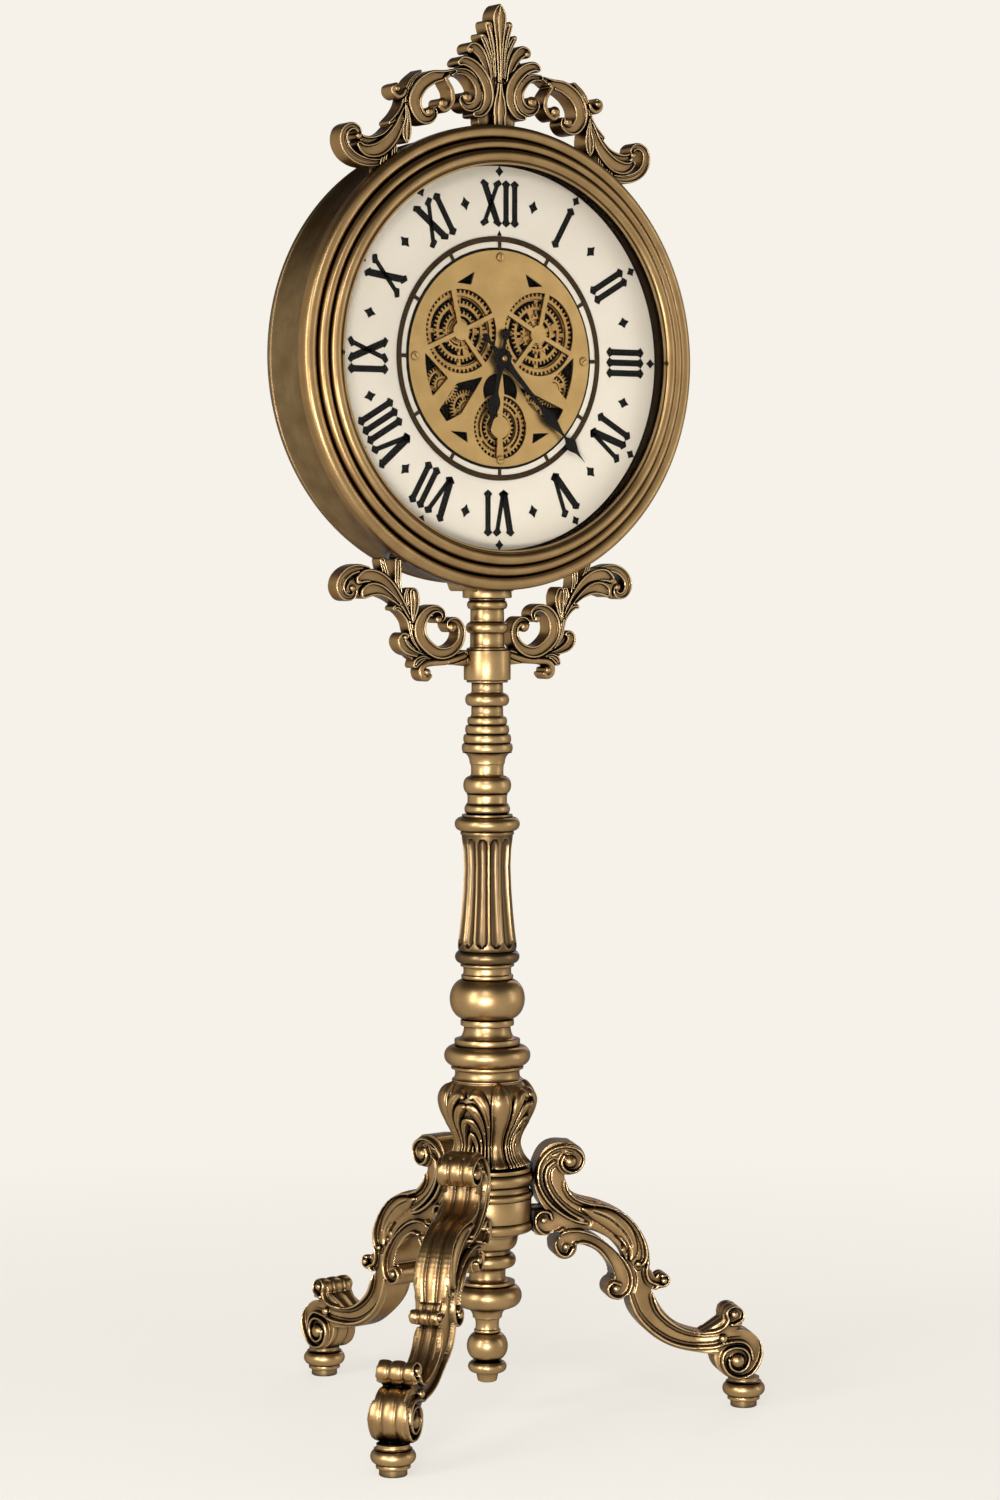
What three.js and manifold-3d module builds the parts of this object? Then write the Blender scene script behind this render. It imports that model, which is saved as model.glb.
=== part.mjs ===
// Tripod floor clock: a round skeleton clock head on a turned column with three scroll legs.
// Millimetres, +Z up. The clock faces -Y and the column stands along Z.

import * as THREE from 'three';
import { mergeVertices } from 'three/addons/utils/BufferGeometryUtils.js';
import Module from 'manifold-3d';

const wasm = await Module();
wasm.setup();

// Fits
const SEAT = 0.3; // gap between two faces that rest on each other
const BOLT_GAP = 0.5; // radial gap of a bolt or rod in its hole
const RUNNING_GAP = 0.4; // radial gap round a turning shaft

// Fineness of the round parts
const COLUMN_SIDES = 12;
const FLUTE_COUNT = 12;
const LOBE_COUNT = 8;
const CASE_SIDES = 36;
const SMALL_SIDES = 8;
const SCROLL_SIDES = 8;
const CASTING_TOLERANCE = 0.8; // how far a casting's drawn outline may be evened out

// Tripod
const HUB_UNDERSIDE = 206; // height of the hub's lower face above the floor
const FOOT_CIRCLE_RADIUS = 290; // column axis to the middle of a foot
const BASE_TURN = -7; // degrees that the tripod is turned on the column, seen from above
const LEG_THICKNESS = 46;
const LEG_CROWN = 1.3; // how far the ribbed outer side stands past the side faces, in half widths
const LEG_ROOT_RADIUS = 50; // where the drawn leg starts
const LEG_FOOT_RADIUS = 279; // where the drawn leg meets its foot
const LEG_DRAWN_FOOT = 33.2; // drawn height of the foot's top
const LEG_DRAWN_HUB = 206; // drawn height of the hub's lower face
const FOOT_HEIGHT = 33.2;
const FOOT_STUD_RADIUS = 4;
const FOOT_STUD_LENGTH = 16;

// Hub
const HUB_WALL_RADIUS = 48.5;
const HUB_RING_RADIUS = 51.5;
const HUB_CAVITY_RADIUS = 31;
const HUB_TOP_PLATE = 14;
const LEG_BOLT_RADIUS = 4;
const LEG_BOLT_HEIGHT = 24; // above the hub's lower face
const LEG_BOLT_GRIP = 14; // length inside the leg

// Tie rod through the column
const ROD_RADIUS = 5;
const ROD_BELOW_HUB = 60;
const NUT_RADIUS = 8.5;
const NUT_HEIGHT = 7;

// Saddle between column and drum
const COLLAR_RADIUS = 25.6;
const CAP_RADIUS = 26.9;
const CAP_HEIGHT = 10.9;
const SADDLE_RISE = 6.2; // cap top to the drum's lowest line
const SADDLE_WIDTH = 58;
const SADDLE_FRONT = -15;
const SADDLE_BACK = 36;

// Drum and its covers. Depths are along Y from the column axis, front negative
const BEZEL_RADIUS = 250;
const BEZEL_OVERHANG = 9; // how far the bezel stands past the drum
const DRUM_RADIUS = BEZEL_RADIUS - BEZEL_OVERHANG;
const DRUM_WALL = 4;
const DRUM_FRONT = -19.7;
const DRUM_DEPTH = 77.7;
const FLANGE_THICKNESS = 3;
const FRONT_FLANGE_WIDTH = 41;
const REAR_FLANGE_WIDTH = 25;
const REAR_FLANGE_INSET = 8.3; // drum's back edge to the rear flange
const BACK_BEAD = 1.8;
const COVER_THICKNESS = 1.6;
const COVER_SCREW_INSET = 16;
const COVER_SCREW_RADIUS = 2;
const WINDOW_WIDTH = 104;
const WINDOW_BOTTOM = -38;
const WINDOW_TOP = 94;
const DOOR_LAP = 5;
const DOOR_THICKNESS = 1.6;
const BARREL_RADIUS = 3.2;
const BARREL_LENGTH = 40;
const KNUCKLE_LENGTH = 14;
const HINGE_PIN_RADIUS = 1.5;
const PULL_RADIUS = 6;
const PULL_LENGTH = 9;

// Bezel, glass and dial
const BEZEL_WIDTH = 43.5;
const LIP_FRONT = -43;
const BEZEL_BEADS = [ // outer and inner edge, in from the bezel's edge, and the depths there and between
  { outer: 0, inner: 15, outerFoot: -29, innerFoot: -31, crest: -36.5, steps: 4 },
  { outer: 16, inner: 26, outerFoot: -34, innerFoot: -36, crest: -41, steps: 2 },
  { outer: 27.5, inner: 38, outerFoot: -39, innerFoot: LIP_FRONT + 0.5, crest: LIP_FRONT - 3, steps: 2 },
];
const SIGHT_RADIUS = BEZEL_RADIUS - BEZEL_WIDTH;
const GLASS_LAP = 3.5;
const GLASS_THICKNESS = 3;
const DIAL_THICKNESS = 3.7;
const DIAL_HOLE_RADIUS = 113.5;
const REHAUT_THICKNESS = 3.2;
const CHAPTER_OUTER = 131.4;
const CHAPTER_INNER = 126.5;
const CHAPTER_SPOKE_END = 118.2;
const CHAPTER_SPOKE_WIDTH = 4;
const CHAPTER_THICKNESS = 1;

// Skeleton plate and gear tray
const PLATE_RADIUS = 116.5;
const PLATE_THICKNESS = 2.3;
const PILLAR_CIRCLE_RADIUS = 109;
const PILLAR_RADIUS = 3.2;
const PILLAR_NECK_RADIUS = 2.2;
const PILLAR_HEAD_RADIUS = 4.5;
const TRAY_FLANGE_RADIUS = 145;
const TRAY_WALL_RADIUS = 119;
const TRAY_WALL = 2;
const TRAY_DEPTH = 8.7; // dial's back to the tray floor's front
const WHEEL_WINDOW_RADIUS = 44;
const WHEEL_SPOKE_WIDTH = 6;
const WHEEL_HUB_RADIUS = 9;
const WINDOW_SPOKES = [76, 151, 230, 335]; // degrees, right window, mirrored on the left
const LOWER_WINDOW_RADIUS = 32;
const EYE_WINDOW_RADIUS = 17;
const EYE_WINDOW_DROP = 33;
const MIDDLE_BAR_WIDTH = 6;

// Gear train behind the plate, all in one layer
const GEAR_MODULE = 2.5;
const GEAR_THICKNESS = 5;
const GEAR_SETBACK = 3.2; // plate's back to the gears' front
const GEAR_BACKLASH = 0.25;
const BIG_TEETH = 34;
const LOWER_TEETH = 22;
const IDLER_TEETH = 16;
const PINION_TEETH = 15;
const BIG_WHEEL_X = 50;
const BIG_WHEEL_Z = 28;
const LOWER_WHEEL_DROP = 74;
const IDLER_BEARING = -69; // degrees, from a big wheel to its idler
const STUD_RADIUS = 3;
const LOWER_SHAFT_RADIUS = 2.5;

// Movement, motor and batteries behind the tray
const MOVEMENT_SIZE = 56;
const MOVEMENT_DEPTH = 16;
const MOTOR_WIDTH = 44;
const MOTOR_HEIGHT = 38;
const MOTOR_DEPTH = 20;
const BATTERY_RADIUS = 7.1;
const BATTERY_LENGTH = 50;
const BATTERY_PITCH = 20;
const BATTERY_HOLDER_Z = 56;
const HOLDER_WALL = 3;
const KNOB_RADIUS = 8;
const KNOB_HEIGHT = 6;
const KNOB_DROP = 16;

// Hands
const MINUTE_ANGLE = 135.7; // degrees clockwise from twelve
const HOUR_ANGLE = 191.3;
const HAND_THICKNESS = 1.2;
const HOUR_HAND_FRONT = -29.6;
const HAND_SPACING = 2;
const ARBOR_RADIUS = 1.5;
const HOUR_TUBE_RADIUS = 2.9;
const HAND_BOSS_RADIUS = 9;
const HAND_NUT_RADIUS = 3.5;
const HAND_NUT_HEIGHT = 3;
const MINUTE_OUTLINE = [ // distance from the arbor, half width
  [-36, 3], [-30, 5.5], [-20, 2.2], [70, 3], [86, 7], [100, 3.2], [114, 1.6], [128, 6.5], [140, 3],
  [154, 0.3],
];
const HOUR_OUTLINE = [
  [-41, 2], [-36, 5], [-30, 1.6], [28, 2.6], [36, 4], [48, 7], [60, 3.4], [81, 0.3],
];

// Ornament
const CROWN_FRONT = -24;
const CROWN_THICKNESS = 21;
const BRACKET_FRONT = -2;
const BRACKET_THICKNESS = 18;
const ORNAMENT_BOLT_ANGLE = 30; // degrees round the drum from its top or bottom
const ORNAMENT_BOLT_RADIUS = 3;
const ORNAMENT_BOLT_GRIP = 9;
const CROWN_BOLT_INSET = 6.5; // from the crown's back face
const BOLT_HEAD_HEIGHT = 4;
const BOLT_HEAD_RADIUS = 6;

// Turned elements, listed from the bottom of a piece to its top
const band = (radius, height) => ({ height, at: (z) => [[radius, z], [radius, z + height]] });
const taper = (from, to, height) => ({ height, at: (z) => [[from, z], [to, z + height]] });
const bead = (radius, height, bulge, steps = 2) => ({
  height,
  at: (z) => Array.from({ length: steps + 1 }, (_, i) => {
    const angle = Math.PI * (i / steps - 0.5);
    return [radius - bulge + bulge * Math.cos(angle), z + (height / 2) * (1 + Math.sin(angle))];
  }),
});

const PENDANT = [
  taper(10.4, 12.9, 10), bead(21.3, 13.8, 5), bead(22.6, 31.5, 12, 4), band(13, 6), taper(13, 16, 9.5),
  taper(16, 26.7, 12), bead(38, 25.4, 12.7, 3), band(30.4, 3.6), band(20, 15), bead(31.5, 15.6, 5),
  taper(26, 34, 20), band(36, 4.1),
];
const HUB = [
  bead(50.5, 12, 4), band(HUB_WALL_RADIUS, 24), bead(50.5, 8.4, 3), band(47, 7.4),
  bead(HUB_RING_RADIUS, 14.2, 5), band(49, 4.6),
];
const LOWER_BALUSTER = [
  band(35.4, 11), band(39.7, 3.3), bead(47.4, 22.6, 10, 3), band(36, 7.4), taper(30, 25.4, 5), band(25.4, 9),
  band(29.3, 6.8), bead(41.2, 44.6, 16, 4), band(28.4, 4.6), band(26.4, 9), band(29.4, 2.9),
];
const SHAFT_BASE = [bead(35.4, 14.4, 6, 3)];
const SHAFT_TOP = [band(29.3, 3.7)];
const UPPER_BALUSTER = [
  bead(35.7, 15.3, 7, 3), band(27.8, 2.9), bead(25, 11.1, 3), band(21.7, 11.1), bead(26.2, 18.9, 5),
  band(17.8, 14.2), taper(19.5, 27.8, 12.5), bead(27.9, 9.4, 3), bead(26.2, 10.1, 3),
  bead(24.1, 10, 3), bead(21.8, 8.9, 3), band(17.4, 11.6),
];
const NECK_LOWER = [bead(24.1, 13.7, 5), band(17.5, 12.3)];
const COLLAR = [taper(23, COLLAR_RADIUS, 2.5), band(COLLAR_RADIUS, 31.4), taper(COLLAR_RADIUS, 23, 2.5)];
const NECK_UPPER = [band(18.7, 15.2), bead(23.4, 13.2, 5), band(18.4, 14), bead(22.1, 10, 4), band(20, 2.2)];
const FOOT = [
  band(14.7, 8), band(18, 4), bead(25, 16, 8, 3), band(17.5, FOOT_HEIGHT - 28),
];

// Vase and fluted shaft: [height above the piece's base, radius, how deep the pattern is]
const VASE_ROWS = [
  [0, 37, 0], [5, 42, 2.5], [12, 38, 2.5], [26, 33, 1.5], [40, 39, 2.5], [58, 50, 4], [73, 52, 4],
  [86, 47, 3], [96.5, 37, 0],
];
const SHAFT_ROWS = [
  [0, 32.1, 0], [5, 31.4, 2.8], [46, 27.6, 2.6], [92.6, 25.4, 2.4], [121, 27.4, 2.4], [126.4, 28.2, 0],
];

const sumHeights = (elements) => elements.reduce((sum, element) => sum + element.height, 0);

// Heights up the column
const hubZ = HUB_UNDERSIDE;
const vaseZ = hubZ + sumHeights(HUB) + SEAT;
const lowerBalusterZ = vaseZ + VASE_ROWS.at(-1)[0] + SEAT;
const shaftZ = lowerBalusterZ + sumHeights(LOWER_BALUSTER) + SEAT;
const flutesZ = shaftZ + sumHeights(SHAFT_BASE);
const upperBalusterZ = flutesZ + SHAFT_ROWS.at(-1)[0] + sumHeights(SHAFT_TOP) + SEAT;
const neckZ = upperBalusterZ + sumHeights(UPPER_BALUSTER) + SEAT;
const collarZ = neckZ + sumHeights(NECK_LOWER);
const collarMiddleZ = collarZ + sumHeights(COLLAR) / 2;
const capZ = collarZ + sumHeights(COLLAR) + sumHeights(NECK_UPPER) + SEAT;
const capTopZ = capZ + CAP_HEIGHT;
const dialZ = capTopZ + SADDLE_RISE + SEAT + DRUM_RADIUS;

// Depths through the head
const drumBack = DRUM_FRONT + DRUM_DEPTH;
const rearFlangeBack = drumBack - REAR_FLANGE_INSET;
const bezelBack = DRUM_FRONT - SEAT;
const dialBack = DRUM_FRONT - SEAT;
const dialFront = dialBack - DIAL_THICKNESS;
const plateBack = dialFront - SEAT;
const plateFront = plateBack - PLATE_THICKNESS;
const glassFront = LIP_FRONT + 2;
const glassBack = glassFront + GLASS_THICKNESS;
const trayFront = dialBack + SEAT;
const trayFloor = dialBack + TRAY_DEPTH + SEAT;
const trayBack = trayFloor + TRAY_WALL;
const gearFront = plateBack + GEAR_SETBACK;
const gearBack = gearFront + GEAR_THICKNESS;
const coverFront = rearFlangeBack + SEAT;
const coverBack = coverFront + COVER_THICKNESS;
const doorFront = coverBack + SEAT;
const hingeX = WINDOW_WIDTH / 2 + DOOR_LAP + 5;
const hingeY = doorFront + BARREL_RADIUS;
const windowMiddleZ = (WINDOW_BOTTOM + WINDOW_TOP) / 2;
const rodRadiusInBore = ROD_RADIUS + BOLT_GAP;

// Materials
const antiqueBrass = { color: 0x8a6a3c, metalness: 0.9, roughness: 0.38 };
const darkBronze = { color: 0x5a4226, metalness: 0.85, roughness: 0.45 };
const plateBrass = { color: 0xb08d4e, metalness: 0.9, roughness: 0.35 };
const creamDial = { color: 0xe9e2d6, metalness: 0, roughness: 0.6 };
const blackPaint = { color: 0x14110f, metalness: 0.1, roughness: 0.5 };
const clearGlass = { color: 0xf4f8f8, metalness: 0, roughness: 0.05, transparent: true, opacity: 0.25 };
const plainSteel = { color: 0x9a9a98, metalness: 0.9, roughness: 0.4 };
const blackPlastic = { color: 0x1c1c1c, metalness: 0, roughness: 0.6 };
const blackRubber = { color: 0x241c14, metalness: 0, roughness: 0.85 };
const batteryJacket = { color: 0x3a3f44, metalness: 0.3, roughness: 0.4 };

const clock = new THREE.Group();
clock.name = 'tripod_floor_clock';
const head = new THREE.Group();
head.position.z = dialZ;
clock.add(head);

function addPiece(name, geometry, look, parent = clock) {
  const flat = geometry.index ? geometry.toNonIndexed() : geometry;
  flat.deleteAttribute('uv');
  flat.computeVertexNormals();
  const mesh = new THREE.Mesh(flat, new THREE.MeshStandardMaterial({ ...look, flatShading: true }));
  mesh.name = name;
  parent.add(mesh);
  return mesh;
}

// Closed mesh to manifold solid and back
function solidOf(geometry) {
  const flat = geometry.index ? geometry.toNonIndexed() : geometry;
  const bare = new THREE.BufferGeometry().setAttribute('position', flat.getAttribute('position'));
  const merged = mergeVertices(bare, 1e-3);
  return new wasm.Manifold(new wasm.Mesh({
    numProp: 3,
    vertProperties: merged.attributes.position.array,
    triVerts: new Uint32Array(merged.index.array),
  }));
}

function geometryOf(solid) {
  const mesh = solid.getMesh();
  const geometry = new THREE.BufferGeometry();
  geometry.setAttribute('position', new THREE.BufferAttribute(mesh.vertProperties, 3));
  geometry.setIndex(new THREE.BufferAttribute(mesh.triVerts, 1));
  return geometry;
}

const joined = (solids) => solids.reduce((whole, solid) => whole.add(solid));
const without = (solid, cutters) => cutters.reduce((left, cutter) => left.subtract(cutter), solid);

// Round solids. A profile is a list of [radius, height] that closes on itself
function revolve(profile, sides) {
  const area = profile.reduce((sum, [r, z], i) => {
    const [nextR, nextZ] = profile[(i + 1) % profile.length];
    return sum + r * nextZ - nextR * z;
  }, 0);
  const ordered = area > 0 ? profile : [...profile].reverse();
  const points = [...ordered, ordered[0]].map(([r, z]) => new THREE.Vector2(r, z));
  return new THREE.LatheGeometry(points, sides);
}

const revolveUp = (profile, sides) => revolve(profile, sides).rotateX(Math.PI / 2);

function rod(radius, from, to, sides = SMALL_SIDES) {
  const length = Math.abs(to - from);
  return new THREE.CylinderGeometry(radius, radius, length, sides).translate(0, (from + to) / 2, 0);
}

const rodUp = (radius, from, to, sides) => rod(radius, from, to, sides).rotateX(Math.PI / 2);
const rodAcross = (radius, from, to, sides) => rod(radius, from, to, sides).rotateZ(-Math.PI / 2);

function block(x0, x1, y0, y1, z0, z1) {
  return new THREE.BoxGeometry(x1 - x0, y1 - y0, z1 - z0)
    .translate((x0 + x1) / 2, (y0 + y1) / 2, (z0 + z1) / 2);
}

// A flat outline in the XZ plane, thick along Y from front to back
function upright(shape, front, back, curveSegments = SMALL_SIDES) {
  return new THREE.ExtrudeGeometry(shape, { depth: back - front, bevelEnabled: false, curveSegments })
    .rotateX(Math.PI / 2).translate(0, back, 0);
}

const outlineOf = (points) => new THREE.Shape(points.map(([x, z]) => new THREE.Vector2(x, z)));

function turnedPoints(elements, z) {
  const points = [];
  let height = z;
  for (const element of elements) {
    points.push(...element.at(height));
    height += element.height;
  }
  return points;
}

function turnedPiece(elements, z, boreRadius = rodRadiusInBore) {
  const top = z + sumHeights(elements);
  const profile = [[boreRadius, z], ...turnedPoints(elements, z), [boreRadius, top]];
  return revolveUp(profile, COLUMN_SIDES);
}

// Turned blank whose side is drawn in by a repeated pattern
function patternedPiece(profile, count, depthAt) {
  const geometry = revolveUp(profile, count * 2);
  const position = geometry.getAttribute('position');
  for (let i = 0; i < position.count; i++) {
    const x = position.getX(i);
    const y = position.getY(i);
    const radius = Math.hypot(x, y);
    if (radius < rodRadiusInBore + 1) continue;
    const wave = Math.abs(Math.sin((count * Math.atan2(y, x)) / 2));
    const drawn = radius - depthAt(position.getZ(i)) * wave;
    position.setXY(i, (x * drawn) / radius, (y * drawn) / radius);
  }
  return geometry;
}

const patternDepth = (rows, base) => (z) => {
  const row = rows.find(([height]) => Math.abs(base + height - z) < 0.01);
  return row ? row[2] : 0;
};

// Tapered band along a smooth path in the XZ plane. The section is [across, along Y]
function sweep(path, section, steps) {
  const knots = path.map(([x, z]) => new THREE.Vector3(x, 0, z));
  const curve = new THREE.CatmullRomCurve3(knots, false, 'centripetal');
  const corners = [];
  for (let i = 0; i <= steps; i++) {
    const t = (i / steps) * (path.length - 1);
    const k = Math.min(Math.floor(t), path.length - 2);
    const halfWidth = THREE.MathUtils.lerp(path[k][2], path[k + 1][2], t - k);
    const point = curve.getPoint(i / steps);
    const along = curve.getTangent(i / steps);
    corners.push(section.map(([across, y]) => [
      point.x - along.z * across * halfWidth, y, point.z + along.x * across * halfWidth,
    ]));
  }
  const count = section.length;
  const triangles = [];
  const addTriangle = (a, b, c) => triangles.push(...a, ...b, ...c);
  for (let i = 0; i < steps; i++) {
    for (let j = 0; j < count; j++) {
      const next = (j + 1) % count;
      addTriangle(corners[i][j], corners[i + 1][j], corners[i + 1][next]);
      addTriangle(corners[i][j], corners[i + 1][next], corners[i][next]);
    }
  }
  for (let j = 1; j < count - 1; j++) {
    addTriangle(corners[0][0], corners[0][j], corners[0][j + 1]);
    addTriangle(corners[steps][0], corners[steps][j + 1], corners[steps][j]);
  }
  const geometry = new THREE.BufferGeometry();
  geometry.setAttribute('position', new THREE.Float32BufferAttribute(triangles, 3));
  return geometry;
}

const flatSection = (front, back) => [[-1, front], [1, front], [1, back], [-1, back]];

const disc = (x, z, radius, front, back, sides = SCROLL_SIDES) =>
  rod(radius, front, back, sides).translate(x, 0, z);

function scrollWork(strokes, discs, front, back) {
  const solids = strokes.map(({ path, steps }) => solidOf(sweep(path, flatSection(front, back), steps)));
  solids.push(...discs.map(([x, z, radius]) => solidOf(disc(x, z, radius, front, back))));
  return joined(solids).simplify(CASTING_TOLERANCE);
}

// Pendant, hub and column
addPiece('pendant_finial', revolveUp([
  [0, hubZ - SEAT - sumHeights(PENDANT)],
  ...turnedPoints(PENDANT, hubZ - SEAT - sumHeights(PENDANT)),
  [rodRadiusInBore, hubZ - SEAT],
  [rodRadiusInBore, hubZ - ROD_BELOW_HUB - SEAT],
  [0, hubZ - ROD_BELOW_HUB - SEAT],
], COLUMN_SIDES), antiqueBrass);

const legAngles = [0, 1, 2].map((k) => THREE.MathUtils.degToRad(-90 - BASE_TURN + 60 - 120 * k));
const boltZ = hubZ + LEG_BOLT_HEIGHT;
const radially = (solid, angle) => solid.rotate([0, 0, THREE.MathUtils.radToDeg(angle)]);

function buildHub() {
  const top = hubZ + sumHeights(HUB);
  const blank = solidOf(revolveUp([
    [HUB_CAVITY_RADIUS, hubZ], ...turnedPoints(HUB, hubZ), [rodRadiusInBore, top],
    [rodRadiusInBore, top - HUB_TOP_PLATE], [HUB_CAVITY_RADIUS, top - HUB_TOP_PLATE],
  ], COLUMN_SIDES));
  const hole = solidOf(rodAcross(LEG_BOLT_RADIUS + BOLT_GAP, HUB_CAVITY_RADIUS - 6, HUB_RING_RADIUS + 6, 8)
    .translate(0, 0, boltZ));
  return without(blank, legAngles.map((angle) => radially(hole, angle)));
}
addPiece('base_hub', geometryOf(buildHub()), antiqueBrass);

const vaseProfile = [
  [rodRadiusInBore, vaseZ], ...VASE_ROWS.map(([z, r]) => [r, vaseZ + z]),
  [rodRadiusInBore, vaseZ + VASE_ROWS.at(-1)[0]],
];
const vaseDepth = patternDepth(VASE_ROWS, vaseZ);
addPiece('acanthus_vase', patternedPiece(vaseProfile, LOBE_COUNT, vaseDepth), antiqueBrass);

addPiece('lower_baluster', turnedPiece(LOWER_BALUSTER, lowerBalusterZ), antiqueBrass);

const shaftProfile = [
  [rodRadiusInBore, shaftZ], ...turnedPoints(SHAFT_BASE, shaftZ),
  ...SHAFT_ROWS.map(([z, r]) => [r, flutesZ + z]),
  ...turnedPoints(SHAFT_TOP, flutesZ + SHAFT_ROWS.at(-1)[0]), [rodRadiusInBore, upperBalusterZ - SEAT],
];
const fluteDepth = patternDepth(SHAFT_ROWS, flutesZ);
addPiece('fluted_shaft', patternedPiece(shaftProfile, FLUTE_COUNT, fluteDepth), antiqueBrass);

addPiece('upper_baluster', turnedPiece(UPPER_BALUSTER, upperBalusterZ), antiqueBrass);

addPiece('neck_sleeve', turnedPiece([...NECK_LOWER, ...COLLAR, ...NECK_UPPER], neckZ), antiqueBrass);

// Drum surfaces, used for the drum and to seat what stands on it
const drumBlank = (radius, front, back) => solidOf(
  rod(radius, front, back, CASE_SIDES).translate(0, 0, dialZ),
);
const clearOfDrum = () => drumBlank(DRUM_RADIUS + SEAT, DRUM_FRONT - 1, drumBack + DRUM_DEPTH);
const clearOfBezel = () => drumBlank(BEZEL_RADIUS + SEAT, DRUM_FRONT - DRUM_DEPTH, DRUM_FRONT + SEAT);

const drumInside = DRUM_RADIUS - DRUM_WALL;
const facetRise = (halfWidth) => halfWidth * Math.tan(Math.PI / CASE_SIDES);
const nutZ = dialZ - drumInside + facetRise(NUT_RADIUS) + SEAT;
const rodTop = nutZ + NUT_HEIGHT + 3;
const rodHole = () => solidOf(rodUp(rodRadiusInBore, capZ - 5, nutZ + NUT_HEIGHT, 8));

function buildSaddle() {
  const cap = solidOf(rodUp(CAP_RADIUS, capZ, capTopZ, COLUMN_SIDES));
  const cradle = solidOf(block(
    -SADDLE_WIDTH / 2, SADDLE_WIDTH / 2, SADDLE_FRONT, SADDLE_BACK, capZ + 5, capTopZ + SADDLE_RISE + 8,
  ));
  return without(cap.add(cradle), [clearOfDrum(), clearOfBezel(), rodHole()]);
}
addPiece('drum_saddle', geometryOf(buildSaddle()), antiqueBrass);
addPiece('tie_rod', rodUp(ROD_RADIUS, hubZ - ROD_BELOW_HUB, rodTop), plainSteel);

function buildNut() {
  const hexagon = solidOf(rodUp(NUT_RADIUS, nutZ, nutZ + NUT_HEIGHT, 6));
  return hexagon.subtract(solidOf(rodUp(ROD_RADIUS + SEAT, nutZ - 5, nutZ + NUT_HEIGHT + 5)));
}
addPiece('tie_rod_nut', geometryOf(buildNut()), plainSteel);

// Legs, drawn as [distance from the axis, height, half width] and fitted between hub and foot
const LEG_BAND = [
  [88, 296, 7], [72, 291, 12], [66, 276, 15], [66, 258, 17], [74, 240, 17], [92, 226, 17], [118, 219, 16],
  [141, 206, 16], [157, 184, 14], [162, 160, 12], [162, 140, 12], [168, 118, 15], [184, 97, 14],
  [206, 82, 12.5], [LEG_FOOT_RADIUS - 41, 74, 11.5], [LEG_FOOT_RADIUS - 17, 77, 13],
];
const LEG_LOWER_SCROLL = [
  [82, 199, 6], [100, 197.5, 7.5], [117, 189.5, 7], [131, 177, 7], [140, 165, 8], [144, 152, 9],
  [147, 142, 9],
];
const LEG_HUB_CURL = [[58, 216, 12], [76, 214, 9], [96, 210, 8]];
const LEG_KNEE = [[170, 152, 8], [178, 142, 6], [188, 144, 6]];
const LEG_TOE_CURL = [
  [LEG_FOOT_RADIUS - 43, 80, 8], [LEG_FOOT_RADIUS - 27, 90, 8], [LEG_FOOT_RADIUS - 15, 98, 9],
];
const LEG_DISCS = [ // distance from the axis, height, radius
  [86, 284.5, 18], [LEG_FOOT_RADIUS - 8, 61, 28.5], [82, 187, 13], [137, 139, 12],
  [LEG_FOOT_RADIUS - 15, 104, 12], [188, 146, 8], [57, 215, 14],
];
const { mapLinear } = THREE.MathUtils;
const legRoot = HUB_WALL_RADIUS + 1.5;
const legReach = (x) => mapLinear(x, LEG_ROOT_RADIUS, LEG_FOOT_RADIUS, legRoot, FOOT_CIRCLE_RADIUS);
const legRise = (z) => mapLinear(z, LEG_DRAWN_FOOT, LEG_DRAWN_HUB, FOOT_HEIGHT, HUB_UNDERSIDE);
const onLeg = (path) => path.map(([x, z, halfWidth]) => [legReach(x), legRise(z), halfWidth]);

function buildLeg() {
  const half = LEG_THICKNESS / 2;
  const section = [
    [-1, -half], [1, -half], [LEG_CROWN, -half / 2.6], [LEG_CROWN, half / 2.6], [1, half], [-1, half],
  ];
  const narrow = flatSection(-half + 2, half - 2);
  const solids = [
    solidOf(sweep(onLeg(LEG_BAND), section, 17)),
    solidOf(sweep(onLeg(LEG_LOWER_SCROLL), narrow, 6)),
    solidOf(sweep(onLeg(LEG_HUB_CURL), narrow, 2)),
    solidOf(sweep(onLeg(LEG_KNEE), narrow, 3)),
    solidOf(sweep(onLeg(LEG_TOE_CURL), narrow, 3)),
    ...LEG_DISCS.map(([x, z, radius]) => solidOf(disc(legReach(x), legRise(z), radius, -half, half))),
  ];
  const hubClearance = solidOf(rodUp(HUB_RING_RADIUS + SEAT, hubZ - 60, hubZ + 130, 24));
  const footSeat = solidOf(block(
    FOOT_CIRCLE_RADIUS - 45, FOOT_CIRCLE_RADIUS + 45, -60, 60, 0, FOOT_HEIGHT + SEAT,
  ));
  const studHole = solidOf(rodUp(FOOT_STUD_RADIUS + BOLT_GAP, 0, FOOT_HEIGHT + FOOT_STUD_LENGTH + SEAT, 8)
    .translate(FOOT_CIRCLE_RADIUS, 0, 0));
  const boltHole = solidOf(rodAcross(
    LEG_BOLT_RADIUS + BOLT_GAP, 0, HUB_RING_RADIUS + LEG_BOLT_GRIP + SEAT, 8,
  ).translate(0, 0, boltZ));
  return without(joined(solids).simplify(CASTING_TOLERANCE), [hubClearance, footSeat, studHole, boltHole]);
}

function buildLegBolt() {
  const headEnd = HUB_CAVITY_RADIUS - SEAT;
  const shank = solidOf(rodAcross(LEG_BOLT_RADIUS, headEnd - 3, HUB_RING_RADIUS + LEG_BOLT_GRIP, 8));
  const boltHead = solidOf(rodAcross(LEG_BOLT_RADIUS * 1.8, headEnd - 6, headEnd - 1.4, 6));
  return shank.add(boltHead).translate([0, 0, boltZ]);
}

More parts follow.
